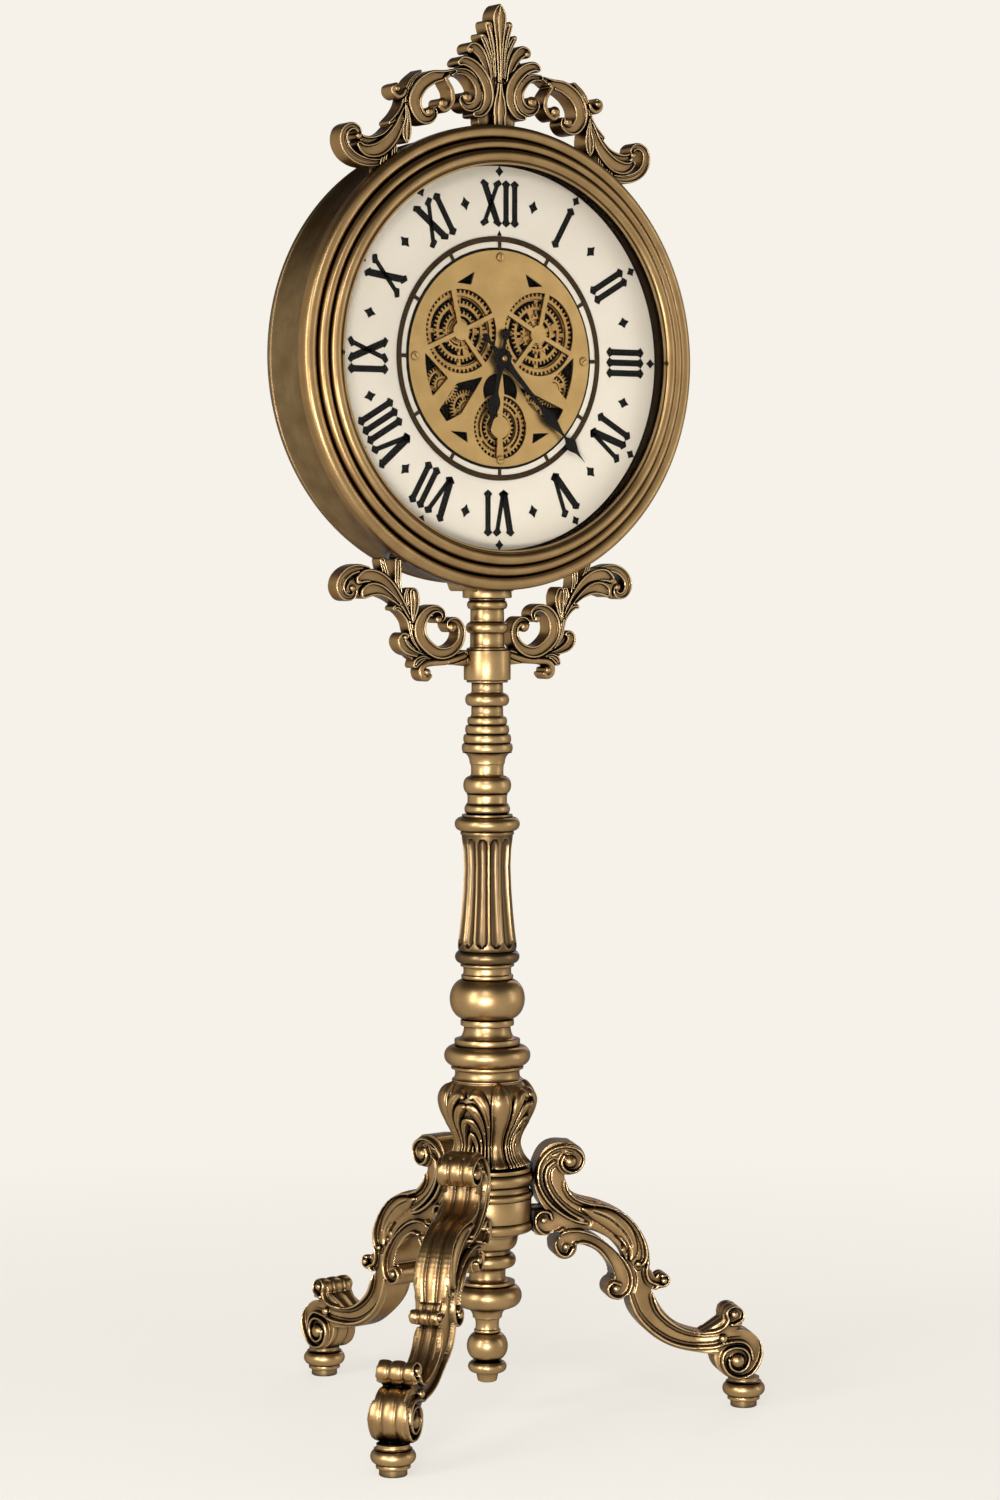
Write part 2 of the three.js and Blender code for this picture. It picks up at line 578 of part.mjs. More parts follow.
const footStudTop = FOOT_HEIGHT + FOOT_STUD_LENGTH;
const footProfile = [
  [0, 0], ...turnedPoints(FOOT, 0), [FOOT_STUD_RADIUS, FOOT_HEIGHT], [FOOT_STUD_RADIUS, footStudTop],
  [0, footStudTop],
];
const leg = geometryOf(buildLeg());
const legBolt = geometryOf(buildLegBolt());
['front_right', 'front_left', 'rear'].forEach((place, k) => {
  const tripodLeg = new THREE.Group();
  tripodLeg.rotation.z = legAngles[k];
  clock.add(tripodLeg);
  addPiece(`leg_${place}`, leg.clone(), antiqueBrass, tripodLeg);
  addPiece(`leg_bolt_${place}`, legBolt.clone(), plainSteel, tripodLeg);
  addPiece(`foot_${place}`, revolveUp(footProfile, COLUMN_SIDES).translate(FOOT_CIRCLE_RADIUS, 0, 0),
    antiqueBrass, tripodLeg);
});

// Drum
const drumBolt = (angle, y, from, to, radius, sides = 8) => rodUp(radius, from, to, sides)
  .translate(0, y, 0).rotateY(THREE.MathUtils.degToRad(angle)).translate(0, 0, dialZ);
const ornamentBolts = [
  ['crown_bolt_left', -ORNAMENT_BOLT_ANGLE, CROWN_FRONT + CROWN_THICKNESS - CROWN_BOLT_INSET],
  ['crown_bolt_right', ORNAMENT_BOLT_ANGLE, CROWN_FRONT + CROWN_THICKNESS - CROWN_BOLT_INSET],
  ['bracket_bolt_left', 180 + ORNAMENT_BOLT_ANGLE, BRACKET_FRONT + BRACKET_THICKNESS / 2],
  ['bracket_bolt_right', 180 - ORNAMENT_BOLT_ANGLE, BRACKET_FRONT + BRACKET_THICKNESS / 2],
];
const boltTip = DRUM_RADIUS + ORNAMENT_BOLT_GRIP;
const ornamentBoltHoles = () => ornamentBolts.map(([, angle, y]) => solidOf(
  drumBolt(angle, y, DRUM_RADIUS - 20, boltTip + SEAT, ORNAMENT_BOLT_RADIUS + BOLT_GAP),
));

const coverScrewAngles = [45, 135, 225, 315];
const onCircle = (angle, radius) => {
  const turn = THREE.MathUtils.degToRad(angle);
  return [radius * Math.cos(turn), radius * Math.sin(turn)];
};
const coverScrewRadius = DRUM_RADIUS - COVER_SCREW_INSET;
const coverScrewHoles = () => coverScrewAngles.map((angle) => {
  const [x, z] = onCircle(angle, coverScrewRadius);
  return solidOf(disc(x, z, COVER_SCREW_RADIUS + BOLT_GAP, rearFlangeBack - 9, coverBack + 5, 8));
});

function buildDrum() {
  const inner = drumInside;
  const frontFlangeEdge = inner - FRONT_FLANGE_WIDTH;
  const rearFlangeEdge = inner - REAR_FLANGE_WIDTH;
  const shell = solidOf(revolve([
    [DRUM_RADIUS, DRUM_FRONT], [DRUM_RADIUS, drumBack - 6], [DRUM_RADIUS + BACK_BEAD, drumBack - 4],
    [DRUM_RADIUS + BACK_BEAD, drumBack - 1], [DRUM_RADIUS, drumBack], [inner, drumBack],
    [inner, rearFlangeBack], [rearFlangeEdge, rearFlangeBack],
    [rearFlangeEdge, rearFlangeBack - FLANGE_THICKNESS], [inner, rearFlangeBack - FLANGE_THICKNESS],
    [inner, DRUM_FRONT + FLANGE_THICKNESS], [frontFlangeEdge, DRUM_FRONT + FLANGE_THICKNESS],
    [frontFlangeEdge, DRUM_FRONT],
  ], CASE_SIDES));
  const wallCuts = [...ornamentBoltHoles(), rodHole()].map((hole) => hole.translate([0, 0, -dialZ]));
  return without(shell, [...wallCuts, ...coverScrewHoles()]);
}
addPiece('case_drum', geometryOf(buildDrum()), antiqueBrass, head);

for (const [name, angle, y] of ornamentBolts) {
  const shank = solidOf(drumBolt(angle, y, drumInside - 3, boltTip, ORNAMENT_BOLT_RADIUS));
  const seat = drumInside - SEAT - facetRise(BOLT_HEAD_RADIUS);
  const boltHead = solidOf(drumBolt(angle, y, seat - BOLT_HEAD_HEIGHT, seat, BOLT_HEAD_RADIUS, 6));
  addPiece(name, geometryOf(shank.add(boltHead)), plainSteel);
}

// Back cover with its service door
const windowShape = () => block(
  -WINDOW_WIDTH / 2, WINDOW_WIDTH / 2, coverFront - 5, coverBack + 5, WINDOW_BOTTOM, WINDOW_TOP,
);

function knuckle(side) {
  const start = windowMiddleZ + side * (BARREL_LENGTH / 2 + SEAT);
  const end = start + side * KNUCKLE_LENGTH;
  const [low, high] = side > 0 ? [start, end] : [end, start];
  const barrel = solidOf(rodUp(BARREL_RADIUS, low, high, 10).translate(hingeX, hingeY, 0));
  return barrel.add(solidOf(block(hingeX - 2.4, hingeX + 2.4, coverBack - 0.5, hingeY, low, high)));
}

function buildCover() {
  const sheet = solidOf(rod(drumInside - SEAT * 2, coverFront, coverBack, CASE_SIDES));
  const opened = without(sheet, [solidOf(windowShape()), ...coverScrewHoles()]);
  const pinLow = windowMiddleZ - BARREL_LENGTH / 2 - KNUCKLE_LENGTH;
  const pinHigh = windowMiddleZ + BARREL_LENGTH / 2 + 2;
  const pin = solidOf(rodUp(HINGE_PIN_RADIUS, pinLow, pinHigh, 8).translate(hingeX, hingeY, 0));
  return joined([opened, knuckle(1), knuckle(-1), pin]);
}
addPiece('back_cover', geometryOf(buildCover()), darkBronze, head);

function buildDoor() {
  const left = -WINDOW_WIDTH / 2 - DOOR_LAP;
  const low = windowMiddleZ - BARREL_LENGTH / 2;
  const high = windowMiddleZ + BARREL_LENGTH / 2;
  const panel = solidOf(block(
    left, hingeX - BARREL_RADIUS - 1.5, doorFront, doorFront + DOOR_THICKNESS,
    WINDOW_BOTTOM - DOOR_LAP, WINDOW_TOP + DOOR_LAP,
  ));
  const tongueEdge = hingeX - BARREL_RADIUS - 2;
  const tongue = solidOf(block(tongueEdge, hingeX, doorFront, doorFront + DOOR_THICKNESS, low, high));
  const barrel = solidOf(rodUp(BARREL_RADIUS, low, high, 10).translate(hingeX, hingeY, 0));
  const pull = solidOf(rod(PULL_RADIUS, doorFront, doorFront + DOOR_THICKNESS + PULL_LENGTH)
    .translate(-WINDOW_WIDTH / 2 + PULL_RADIUS, 0, windowMiddleZ));
  const bore = solidOf(
    rodUp(HINGE_PIN_RADIUS + RUNNING_GAP, low - 5, high + 5, 8).translate(hingeX, hingeY, 0),
  );
  return joined([panel, tongue, barrel]).subtract(bore).add(pull);
}
addPiece('service_door', geometryOf(buildDoor()), darkBronze, head);
coverScrewAngles.forEach((angle, k) => {
  const [x, z] = onCircle(angle, coverScrewRadius);
  const shank = solidOf(rod(COVER_SCREW_RADIUS, rearFlangeBack - 8, coverBack + 1, 8));
  const screwHead = solidOf(rod(COVER_SCREW_RADIUS * 2, coverBack + SEAT, coverBack + SEAT + 2.2, 10));
  addPiece(`cover_screw_${k + 1}`, geometryOf(shank.add(screwHead)).translate(x, 0, z), plainSteel, head);
});

// Bezel, glass, rehaut and dial
function bezelProfile() {
  const points = [[BEZEL_RADIUS, bezelBack]];
  for (const { outer, inner, outerFoot, innerFoot, crest, steps } of BEZEL_BEADS) {
    for (let i = 0; i <= steps; i++) {
      const angle = (Math.PI * i) / steps;
      const foot = THREE.MathUtils.lerp(outerFoot, innerFoot, i / steps);
      points.push([
        BEZEL_RADIUS - (outer + inner) / 2 + ((inner - outer) / 2) * Math.cos(angle),
        foot + (crest - foot) * Math.sin(angle),
      ]);
    }
  }
  const rabbet = SIGHT_RADIUS + GLASS_LAP + SEAT;
  points.push(
    [SIGHT_RADIUS, LIP_FRONT], [SIGHT_RADIUS, glassFront - SEAT], [rabbet, glassFront - SEAT],
    [rabbet, bezelBack],
  );
  return points;
}
addPiece('bezel', revolve(bezelProfile(), CASE_SIDES), antiqueBrass, head);

const glassRadius = SIGHT_RADIUS + GLASS_LAP;
addPiece('glass', rod(glassRadius, glassFront, glassBack, CASE_SIDES), clearGlass, head);
addPiece('rehaut_ring', revolve([
  [glassRadius, glassBack + SEAT], [glassRadius, dialFront - SEAT],
  [glassRadius - REHAUT_THICKNESS, dialFront - SEAT], [glassRadius - REHAUT_THICKNESS, glassBack + SEAT],
], CASE_SIDES), darkBronze, head);
addPiece('dial', revolve([
  [glassRadius, dialFront], [glassRadius, dialBack],
  [DIAL_HOLE_RADIUS, dialBack], [DIAL_HOLE_RADIUS, dialFront],
], CASE_SIDES), creamDial, head);

function buildChapterRing() {
  const front = dialFront - SEAT - CHAPTER_THICKNESS;
  const back = dialFront - SEAT;
  const ring = solidOf(revolve([
    [CHAPTER_OUTER, front], [CHAPTER_OUTER, back], [CHAPTER_INNER, back], [CHAPTER_INNER, front],
  ], CASE_SIDES));
  const spoke = solidOf(block(
    -CHAPTER_SPOKE_WIDTH / 2, CHAPTER_SPOKE_WIDTH / 2, front, back, CHAPTER_SPOKE_END, CHAPTER_INNER + 2,
  ));
  return joined([ring, ...Array.from({ length: 12 }, (_, k) => spoke.rotate([0, k * 30, 0]))]);
}
addPiece('chapter_ring', geometryOf(buildChapterRing()), darkBronze, head);

// Gear train: places follow from the tooth counts
const pitchRadius = (teeth) => (GEAR_MODULE * teeth) / 2;
const addendum = 0.8 * GEAR_MODULE;
const dedendum = 1.15 * GEAR_MODULE;
const bigWheel = [BIG_WHEEL_X, BIG_WHEEL_Z];
const lowerWheel = [0, -LOWER_WHEEL_DROP];
const idlerSpan = pitchRadius(BIG_TEETH) + pitchRadius(IDLER_TEETH);
const idlerOffset = onCircle(IDLER_BEARING, idlerSpan);
const idler = [bigWheel[0] + idlerOffset[0], bigWheel[1] + idlerOffset[1]];

function meetingPoint(a, spanA, b, spanB) {
  const gap = Math.hypot(b[0] - a[0], b[1] - a[1]);
  const along = (gap * gap + spanA * spanA - spanB * spanB) / (2 * gap);
  const aside = Math.sqrt(spanA * spanA - along * along);
  const u = [(b[0] - a[0]) / gap, (b[1] - a[1]) / gap];
  return [a[0] + u[0] * along + u[1] * aside, a[1] + u[1] * along - u[0] * aside];
}
const pinion = meetingPoint(
  lowerWheel, pitchRadius(LOWER_TEETH) + pitchRadius(PINION_TEETH),
  idler, pitchRadius(IDLER_TEETH) + pitchRadius(PINION_TEETH),
);

// Phase of a gear that meshes with one whose first tooth points at drivePhase
function meshedPhase(driver, driverTeeth, driverPhase, driven, drivenTeeth) {
  const bearing = Math.atan2(driven[1] - driver[1], driven[0] - driver[0]);
  const driverStep = ((bearing - driverPhase) * driverTeeth) / (2 * Math.PI);
  return bearing + Math.PI - ((0.5 - driverStep) * 2 * Math.PI) / drivenTeeth;
}
const lowerPhase = Math.PI / 2;
const pinionPhase = meshedPhase(lowerWheel, LOWER_TEETH, lowerPhase, pinion, PINION_TEETH);
const idlerPhase = meshedPhase(pinion, PINION_TEETH, pinionPhase, idler, IDLER_TEETH);
const bigPhase = meshedPhase(idler, IDLER_TEETH, idlerPhase, bigWheel, BIG_TEETH);

function toothedDisc(teeth, phase) {
  const pitch = pitchRadius(teeth);
  const step = (2 * Math.PI) / teeth;
  const slack = GEAR_BACKLASH / pitch / 2;
  const points = [];
  for (let k = 0; k < teeth; k++) {
    const middle = phase + k * step;
    const corners = [
      [pitch - dedendum, -0.3 * step + slack], [pitch + addendum, -0.13 * step + slack],
      [pitch + addendum, 0.13 * step - slack], [pitch - dedendum, 0.3 * step - slack],
    ];
    for (const [radius, turn] of corners) {
      points.push([radius * Math.cos(middle + turn), radius * Math.sin(middle + turn)]);
    }
  }
  return solidOf(upright(outlineOf(points), gearFront, gearBack));
}

function buildWheel(teeth, phase) {
  const bore = solidOf(rod(STUD_RADIUS + RUNNING_GAP, gearFront - 5, gearBack + 5, 8));
  return toothedDisc(teeth, phase).subtract(bore);
}

function buildBigWheel() {
  const rim = pitchRadius(BIG_TEETH) - dedendum - 5;
  const hubEdge = STUD_RADIUS + 6;
  const openings = [0, 1, 2, 3].map((k) => solidOf(upright(outlineOf(
    [[hubEdge, 12], [rim, 8], [rim, 45], [rim, 82], [hubEdge, 78]].map(([r, a]) => onCircle(a + 90 * k, r)),
  ), gearFront - 5, gearBack + 5)));
  return without(buildWheel(BIG_TEETH, bigPhase), openings);
}

function buildLowerWheel() {
  return toothedDisc(LOWER_TEETH, lowerPhase)
    .add(solidOf(rod(LOWER_SHAFT_RADIUS, gearBack - 1, trayBack + 12, 8)));
}

const mirrored = (solid) => solid.mirror([1, 0, 0]);
const place = (solid, [x, z]) => geometryOf(solid.translate([x, 0, z]));
const rightGears = [
  ['wheel', buildBigWheel(), bigWheel],
  ['idler', buildWheel(IDLER_TEETH, idlerPhase), idler],
  ['pinion', buildWheel(PINION_TEETH, pinionPhase), pinion],
];
for (const [kind, gear, [x, z]] of rightGears) {
  addPiece(`right_${kind}`, place(gear, [x, z]), plateBrass, head);
  addPiece(`left_${kind}`, place(mirrored(gear), [-x, z]), plateBrass, head);
}
addPiece('lower_wheel', place(buildLowerWheel(), lowerWheel), plateBrass, head);

function buildTray() {
  const wallInside = TRAY_WALL_RADIUS - TRAY_WALL;
  const pan = solidOf(revolve([
    [0, trayBack], [TRAY_WALL_RADIUS, trayBack], [TRAY_WALL_RADIUS, trayFront + TRAY_WALL],
    [TRAY_FLANGE_RADIUS, trayFront + TRAY_WALL], [TRAY_FLANGE_RADIUS, trayFront],
    [wallInside, trayFront], [wallInside, trayFloor], [0, trayFloor],
  ], CASE_SIDES));
  const studs = rightGears.flatMap(([, , [x, z]]) => [x, -x].map((side) => solidOf(
    disc(side, z, STUD_RADIUS, gearFront - 1.5, trayFloor + 1, 8),
  )));
  const floorHole = (x, z, radius) => solidOf(disc(x, z, radius + RUNNING_GAP, trayFloor - 5, trayBack + 5));
  const arborHole = floorHole(0, 0, HOUR_TUBE_RADIUS);
  const shaftHole = floorHole(...lowerWheel, LOWER_SHAFT_RADIUS);
  return without(joined([pan, ...studs]), [arborHole, shaftHole]);
}
addPiece('gear_tray', geometryOf(buildTray()), darkBronze, head);

// Skeleton plate and its pillars
const pillarAngles = [0, 90, 180, 270];

function buildPlate() {
  const slab = (x, z, radius, sides) => solidOf(disc(x, z, radius, plateFront, plateBack, sides));
  const hole = (x, z, radius, sides) => solidOf(disc(x, z, radius, plateFront - 5, plateBack + 5, sides));
  const bar = (x0, x1, z0, z1) => solidOf(block(x0, x1, plateFront, plateBack, z0, z1));
  const opening = (corners) => {
    const right = solidOf(upright(outlineOf(corners), plateFront - 5, plateBack + 5));
    return [right, mirrored(right)];
  };
  const half = MIDDLE_BAR_WIDTH / 2;
  const openings = [
    hole(BIG_WHEEL_X, BIG_WHEEL_Z, WHEEL_WINDOW_RADIUS, 16),
    hole(-BIG_WHEEL_X, BIG_WHEEL_Z, WHEEL_WINDOW_RADIUS, 16),
    hole(0, -LOWER_WHEEL_DROP, LOWER_WINDOW_RADIUS, 14),
    hole(0, -EYE_WINDOW_DROP, EYE_WINDOW_RADIUS, 10),
    ...opening([[33, 91], [38, 77], [57, 77]]),
    ...opening([[95.5, 2], [65, -23], [87, -43]]),
    ...opening([[24, -25], [56, -29], [80, -55], [70, -69], [48, -60]]),
    ...opening([[44, -78], [63, -78], [42, -90]]),
  ];
  const spokes = WINDOW_SPOKES.flatMap((angle) => {
    const right = bar(0, WHEEL_WINDOW_RADIUS + 2, -WHEEL_SPOKE_WIDTH / 2, WHEEL_SPOKE_WIDTH / 2)
      .rotate([0, -angle, 0]).translate([BIG_WHEEL_X, 0, BIG_WHEEL_Z]);
    return [right, mirrored(right)];
  });
  const pieces = [
    ...spokes,
    slab(BIG_WHEEL_X, BIG_WHEEL_Z, WHEEL_HUB_RADIUS, 10),
    slab(-BIG_WHEEL_X, BIG_WHEEL_Z, WHEEL_HUB_RADIUS, 10),
    slab(0, -LOWER_WHEEL_DROP, WHEEL_HUB_RADIUS + 2, 10),
    bar(-half, half, -LOWER_WHEEL_DROP - LOWER_WINDOW_RADIUS - 2, 0),
    slab(0, 0, WHEEL_HUB_RADIUS + 4, 12),
  ];
  const screwHoles = pillarAngles.map((angle) => {
    const [x, z] = onCircle(angle, PILLAR_CIRCLE_RADIUS);
    return hole(x, z, PILLAR_NECK_RADIUS + BOLT_GAP, 8);
  });
  const arborHole = hole(0, 0, HOUR_TUBE_RADIUS + RUNNING_GAP, 10);
  const pierced = without(slab(0, 0, PLATE_RADIUS, CASE_SIDES), openings);
  return without(joined([pierced, ...pieces]), [...screwHoles, arborHole]);
}
addPiece('skeleton_plate', geometryOf(buildPlate()), plateBrass, head);

pillarAngles.forEach((angle, k) => {
  const [x, z] = onCircle(angle, PILLAR_CIRCLE_RADIUS);
  const pillar = joined([
    solidOf(rod(PILLAR_RADIUS, plateBack + SEAT, trayFloor - SEAT, 8)),
    solidOf(rod(PILLAR_NECK_RADIUS, plateFront - 1, plateBack + 1, 8)),
    solidOf(rod(PILLAR_HEAD_RADIUS, plateFront - SEAT - 1.5, plateFront - SEAT, 10)),
  ]);
  addPiece(`plate_pillar_${k + 1}`, geometryOf(pillar).translate(x, 0, z), plateBrass, head);
});

// Movement, motor and batteries
const partsFront = trayBack + SEAT;
const movementBack = partsFront + MOVEMENT_DEPTH;

function buildMovement() {
  const half = MOVEMENT_SIZE / 2;
  const box = solidOf(block(-half, half, partsFront, movementBack, -half, half));
  const arborBore = solidOf(rod(HOUR_TUBE_RADIUS + RUNNING_GAP, partsFront - 5, partsFront + 10, 10));
  const knobBore = solidOf(
    disc(0, -KNOB_DROP, ARBOR_RADIUS + RUNNING_GAP, movementBack - 5, movementBack + 5),
  );
  return without(box, [arborBore, knobBore]);
}
addPiece('movement_case', geometryOf(buildMovement()), blackPlastic, head);

function buildMotor() {
  const halfWidth = MOTOR_WIDTH / 2;
  const halfHeight = MOTOR_HEIGHT / 2;
  const motorBack = partsFront + MOTOR_DEPTH;
  const box = solidOf(block(-halfWidth, halfWidth, partsFront, motorBack, -halfHeight, halfHeight));
  return box.subtract(solidOf(rod(LOWER_SHAFT_RADIUS + RUNNING_GAP, partsFront - 5, partsFront + 13, 8)));
}
addPiece('gear_motor', place(buildMotor(), lowerWheel), blackPlastic, head);

const batteryY = partsFront + HOLDER_WALL + BATTERY_RADIUS + BOLT_GAP;
const batteryZ = [-0.5, 0.5].map((side) => BATTERY_HOLDER_Z + side * BATTERY_PITCH);

function buildHolder() {
  const halfWidth = BATTERY_LENGTH / 2 + BOLT_GAP + HOLDER_WALL;
  const halfHeight = BATTERY_PITCH / 2 + BATTERY_RADIUS + BOLT_GAP + HOLDER_WALL;
  const holderBack = batteryY + BATTERY_RADIUS / 2;
  const tray = solidOf(block(-halfWidth, halfWidth, partsFront, holderBack, -halfHeight, halfHeight)
    .translate(0, 0, BATTERY_HOLDER_Z));
  const reach = BATTERY_LENGTH / 2 + BOLT_GAP;
  const radius = BATTERY_RADIUS + BOLT_GAP;
  const bays = batteryZ.flatMap((z) => [
    solidOf(rodAcross(radius, -reach, reach).translate(0, batteryY, z)),
    solidOf(block(-reach, reach, batteryY, holderBack + 5, z - radius, z + radius)),
  ]);
  return without(tray, bays);
}
addPiece('battery_holder', geometryOf(buildHolder()), blackPlastic, head);
batteryZ.forEach((z, k) => {
  addPiece(`battery_${k + 1}`, rodAcross(BATTERY_RADIUS, -BATTERY_LENGTH / 2, BATTERY_LENGTH / 2)
    .translate(0, batteryY, z), batteryJacket, head);
});

function buildKnob() {
  const grip = solidOf(rod(KNOB_RADIUS, movementBack + SEAT, movementBack + SEAT + KNOB_HEIGHT));
  return grip.add(solidOf(rod(ARBOR_RADIUS, movementBack - 4, movementBack + 1, 8)));
}
addPiece('set_knob', place(buildKnob(), [0, -KNOB_DROP]), blackPlastic, head);

// Hands
function handBlade(outline, front, angle) {
  const side = outline.map(([along, halfWidth]) => [halfWidth, along]);
  const otherSide = [...side].reverse().map(([x, z]) => [-x, z]);
  return solidOf(upright(outlineOf([...side, ...otherSide]), front, front + HAND_THICKNESS)
    .rotateY(THREE.MathUtils.degToRad(angle)));
}

const minuteFront = HOUR_HAND_FRONT - HAND_SPACING;

function buildHourHand() {
  const back = HOUR_HAND_FRONT + HAND_THICKNESS;
  return joined([
    handBlade(HOUR_OUTLINE, HOUR_HAND_FRONT, HOUR_ANGLE),
    solidOf(rod(HAND_BOSS_RADIUS - 1, HOUR_HAND_FRONT, back)),
    solidOf(rod(HOUR_TUBE_RADIUS, HOUR_HAND_FRONT, partsFront + 6)),
  ]).subtract(solidOf(rod(ARBOR_RADIUS + RUNNING_GAP, HOUR_HAND_FRONT - 5, partsFront + 11, 8)));
}
addPiece('hour_hand', geometryOf(buildHourHand()), blackPaint, head);

function buildMinuteHand() {
  return joined([
    handBlade(MINUTE_OUTLINE, minuteFront, MINUTE_ANGLE),
    solidOf(rod(HAND_BOSS_RADIUS, minuteFront, minuteFront + HAND_THICKNESS)),
    solidOf(rod(ARBOR_RADIUS, minuteFront - HAND_NUT_HEIGHT, partsFront + 9, 8)),
  ]);
}
addPiece('minute_hand', geometryOf(buildMinuteHand()), blackPaint, head);

function buildHandNut() {
  const nutBack = minuteFront - SEAT;
  const cap = solidOf(rod(HAND_NUT_RADIUS, nutBack - HAND_NUT_HEIGHT - 1, nutBack, 10));
  return cap.subtract(solidOf(rod(ARBOR_RADIUS + SEAT, nutBack - HAND_NUT_HEIGHT, nutBack + 5, 8)));
}
addPiece('hand_nut', geometryOf(buildHandNut()), plateBrass, head);

// Crown: right half, [x, height above the bezel, half width], mirrored for the left
const CROWN_LEAF = {
  path: [[0, -14, 9], [0, 15, 8.5], [0, 50, 5], [0, 100, 9], [0, 118, 8], [0, 130, 1]], steps: 8,
};
const CROWN_STROKES = [
  { path: [[7, 5, 6], [10, 50, 7], [15, 82, 8], [18, 98, 6]], steps: 2 },
  { path: [[9, 5, 6], [15, 50, 7], [21, 74, 6], [25, 88, 5]], steps: 2 },
  { path: [[14, 4, 8], [21, 42, 8], [29, 64, 8], [38, 73, 6]], steps: 3 },
  { path: [[18, 0, 9], [21, 26, 8], [32, 48, 7], [48, 58, 6]], steps: 3 },
  {
    path: [[60, 52, 5], [46, 53, 6], [31, 46, 6], [24, 30, 6], [27, 14, 6], [38, 9, 6], [47, 15, 5]],
    steps: 7,
  },
  {
    path: [[54, 50, 6], [78, 49, 7.5], [100, 38, 7.5], [110, 20, 7.5], [104, 4, 7], [92, -1, 6], [85, 6, 5]],
    steps: 7,
  },
  { path: [[59, 50, 5], [59, 32, 5], [62, 17, 5.5], [70, 11, 5], [78, 13, 4]], steps: 4 },
  { path: [[112, 34, 5], [121, 25, 5], [130, 24, 5]], steps: 2 },
  { path: [[112, 22, 7], [122, 0, 9], [140, -20, 9.5], [162, -36, 9], [182, -40, 8]], steps: 5 },
  { path: [[116, 12, 6], [128, 0, 6], [139, -6, 4]], steps: 2 },
  { path: [[114, 12, 6], [119, -14, 8], [122, -54, 9]], steps: 2 },
  { path: [[128, -8, 6], [134, -30, 7], [139, -66, 6]], steps: 2 },
];
const CROWN_DISCS = [
  [38, 75, 9], [50, 58, 8.5], [43, 25, 8.5], [73, 19, 8], [89, 7, 8], [130, 29, 8], [191, -30, 19.5],
];

function buildCrown() {
  const crownBack = CROWN_FRONT + CROWN_THICKNESS;
  const right = scrollWork(CROWN_STROKES, CROWN_DISCS, CROWN_FRONT, crownBack);
  const middle = solidOf(sweep(CROWN_LEAF.path, flatSection(CROWN_FRONT - 3, crownBack), CROWN_LEAF.steps));
  const whole = joined([right, mirrored(right), middle]).translate([0, 0, dialZ + BEZEL_RADIUS]);
  return without(whole, [clearOfDrum(), clearOfBezel(), ...ornamentBoltHoles()]);
}
addPiece('crown', geometryOf(buildCrown()), antiqueBrass);

// Bracket: right one, [x from the column, height above the collar's middle, half width]
const RING = { x: 61, z: 39.5, across: 26.5, up: 24, halfWidth: 5.5, start: 150 };
const ringPath = Array.from({ length: 11 }, (_, i) => {
  const angle = THREE.MathUtils.degToRad(RING.start + 30 * i);
  return [RING.x + RING.across * Math.cos(angle), RING.z + RING.up * Math.sin(angle), RING.halfWidth];
});
const BRACKET_STROKES = [
  { path: ringPath, steps: 11 },
  { path: [[20, 8, 10], [40, 8, 8], [62, 6, 6], [80, 2, 5], [86, -6, 4]], steps: 5 },
  { path: [[90, 20, 6], [99, 42, 8], [112, 70, 9], [131, 88, 10], [150, 98, 10], [172, 101, 9]], steps: 6 },
  { path: [[92, 40, 5], [96, 62, 7], [97, 80, 7]], steps: 3 },
  { path: [[110, 68, 6], [120, 95, 8], [124, 130, 10]], steps: 3 },
  { path: [[126, 84, 5], [134, 105, 6], [140, 140, 6]], steps: 3 },
  { path: [[100, 46, 5], [112, 63, 6], [127, 65, 4]], steps: 3 },
  { path: [[82, 13, 6], [102, 15, 6], [115, 24, 5]], steps: 3 },
  { path: [[70, 8, 5], [88, 5, 6], [104, 3, 4]], steps: 2 },
];
const BRACKET_DISCS = [
  [46, 42, 7.5], [64, 53, 8], [180, 91, 19.5], [108, 28, 12], [80, -9, 12], [97, 80, 7],
];

function buildBracket() {
  const back = BRACKET_FRONT + BRACKET_THICKNESS;
  const blank = scrollWork(BRACKET_STROKES, BRACKET_DISCS, BRACKET_FRONT, back)
    .translate([0, 0, collarMiddleZ]);
  const clearOfCollar = solidOf(
    rodUp(COLLAR_RADIUS + SEAT, collarMiddleZ - 60, collarMiddleZ + 80, COLUMN_SIDES),
  );
  return without(blank, [clearOfDrum(), clearOfCollar, ...ornamentBoltHoles()]);
}
const rightBracket = buildBracket();
addPiece('bracket_right', geometryOf(rightBracket), antiqueBrass);
addPiece('bracket_left', geometryOf(mirrored(rightBracket)), antiqueBrass);

// The origin is on the floor under the middle of the clock's outline
const extent = new THREE.Box3().setFromObject(clock);
clock.position.set(-(extent.min.x + extent.max.x) / 2, -(extent.min.y + extent.max.y) / 2, -extent.min.z);

export default clock;
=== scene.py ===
import math

import bmesh
import bpy
import numpy as np
from mathutils import Matrix, Vector
from mathutils.geometry import tessellate_polygon


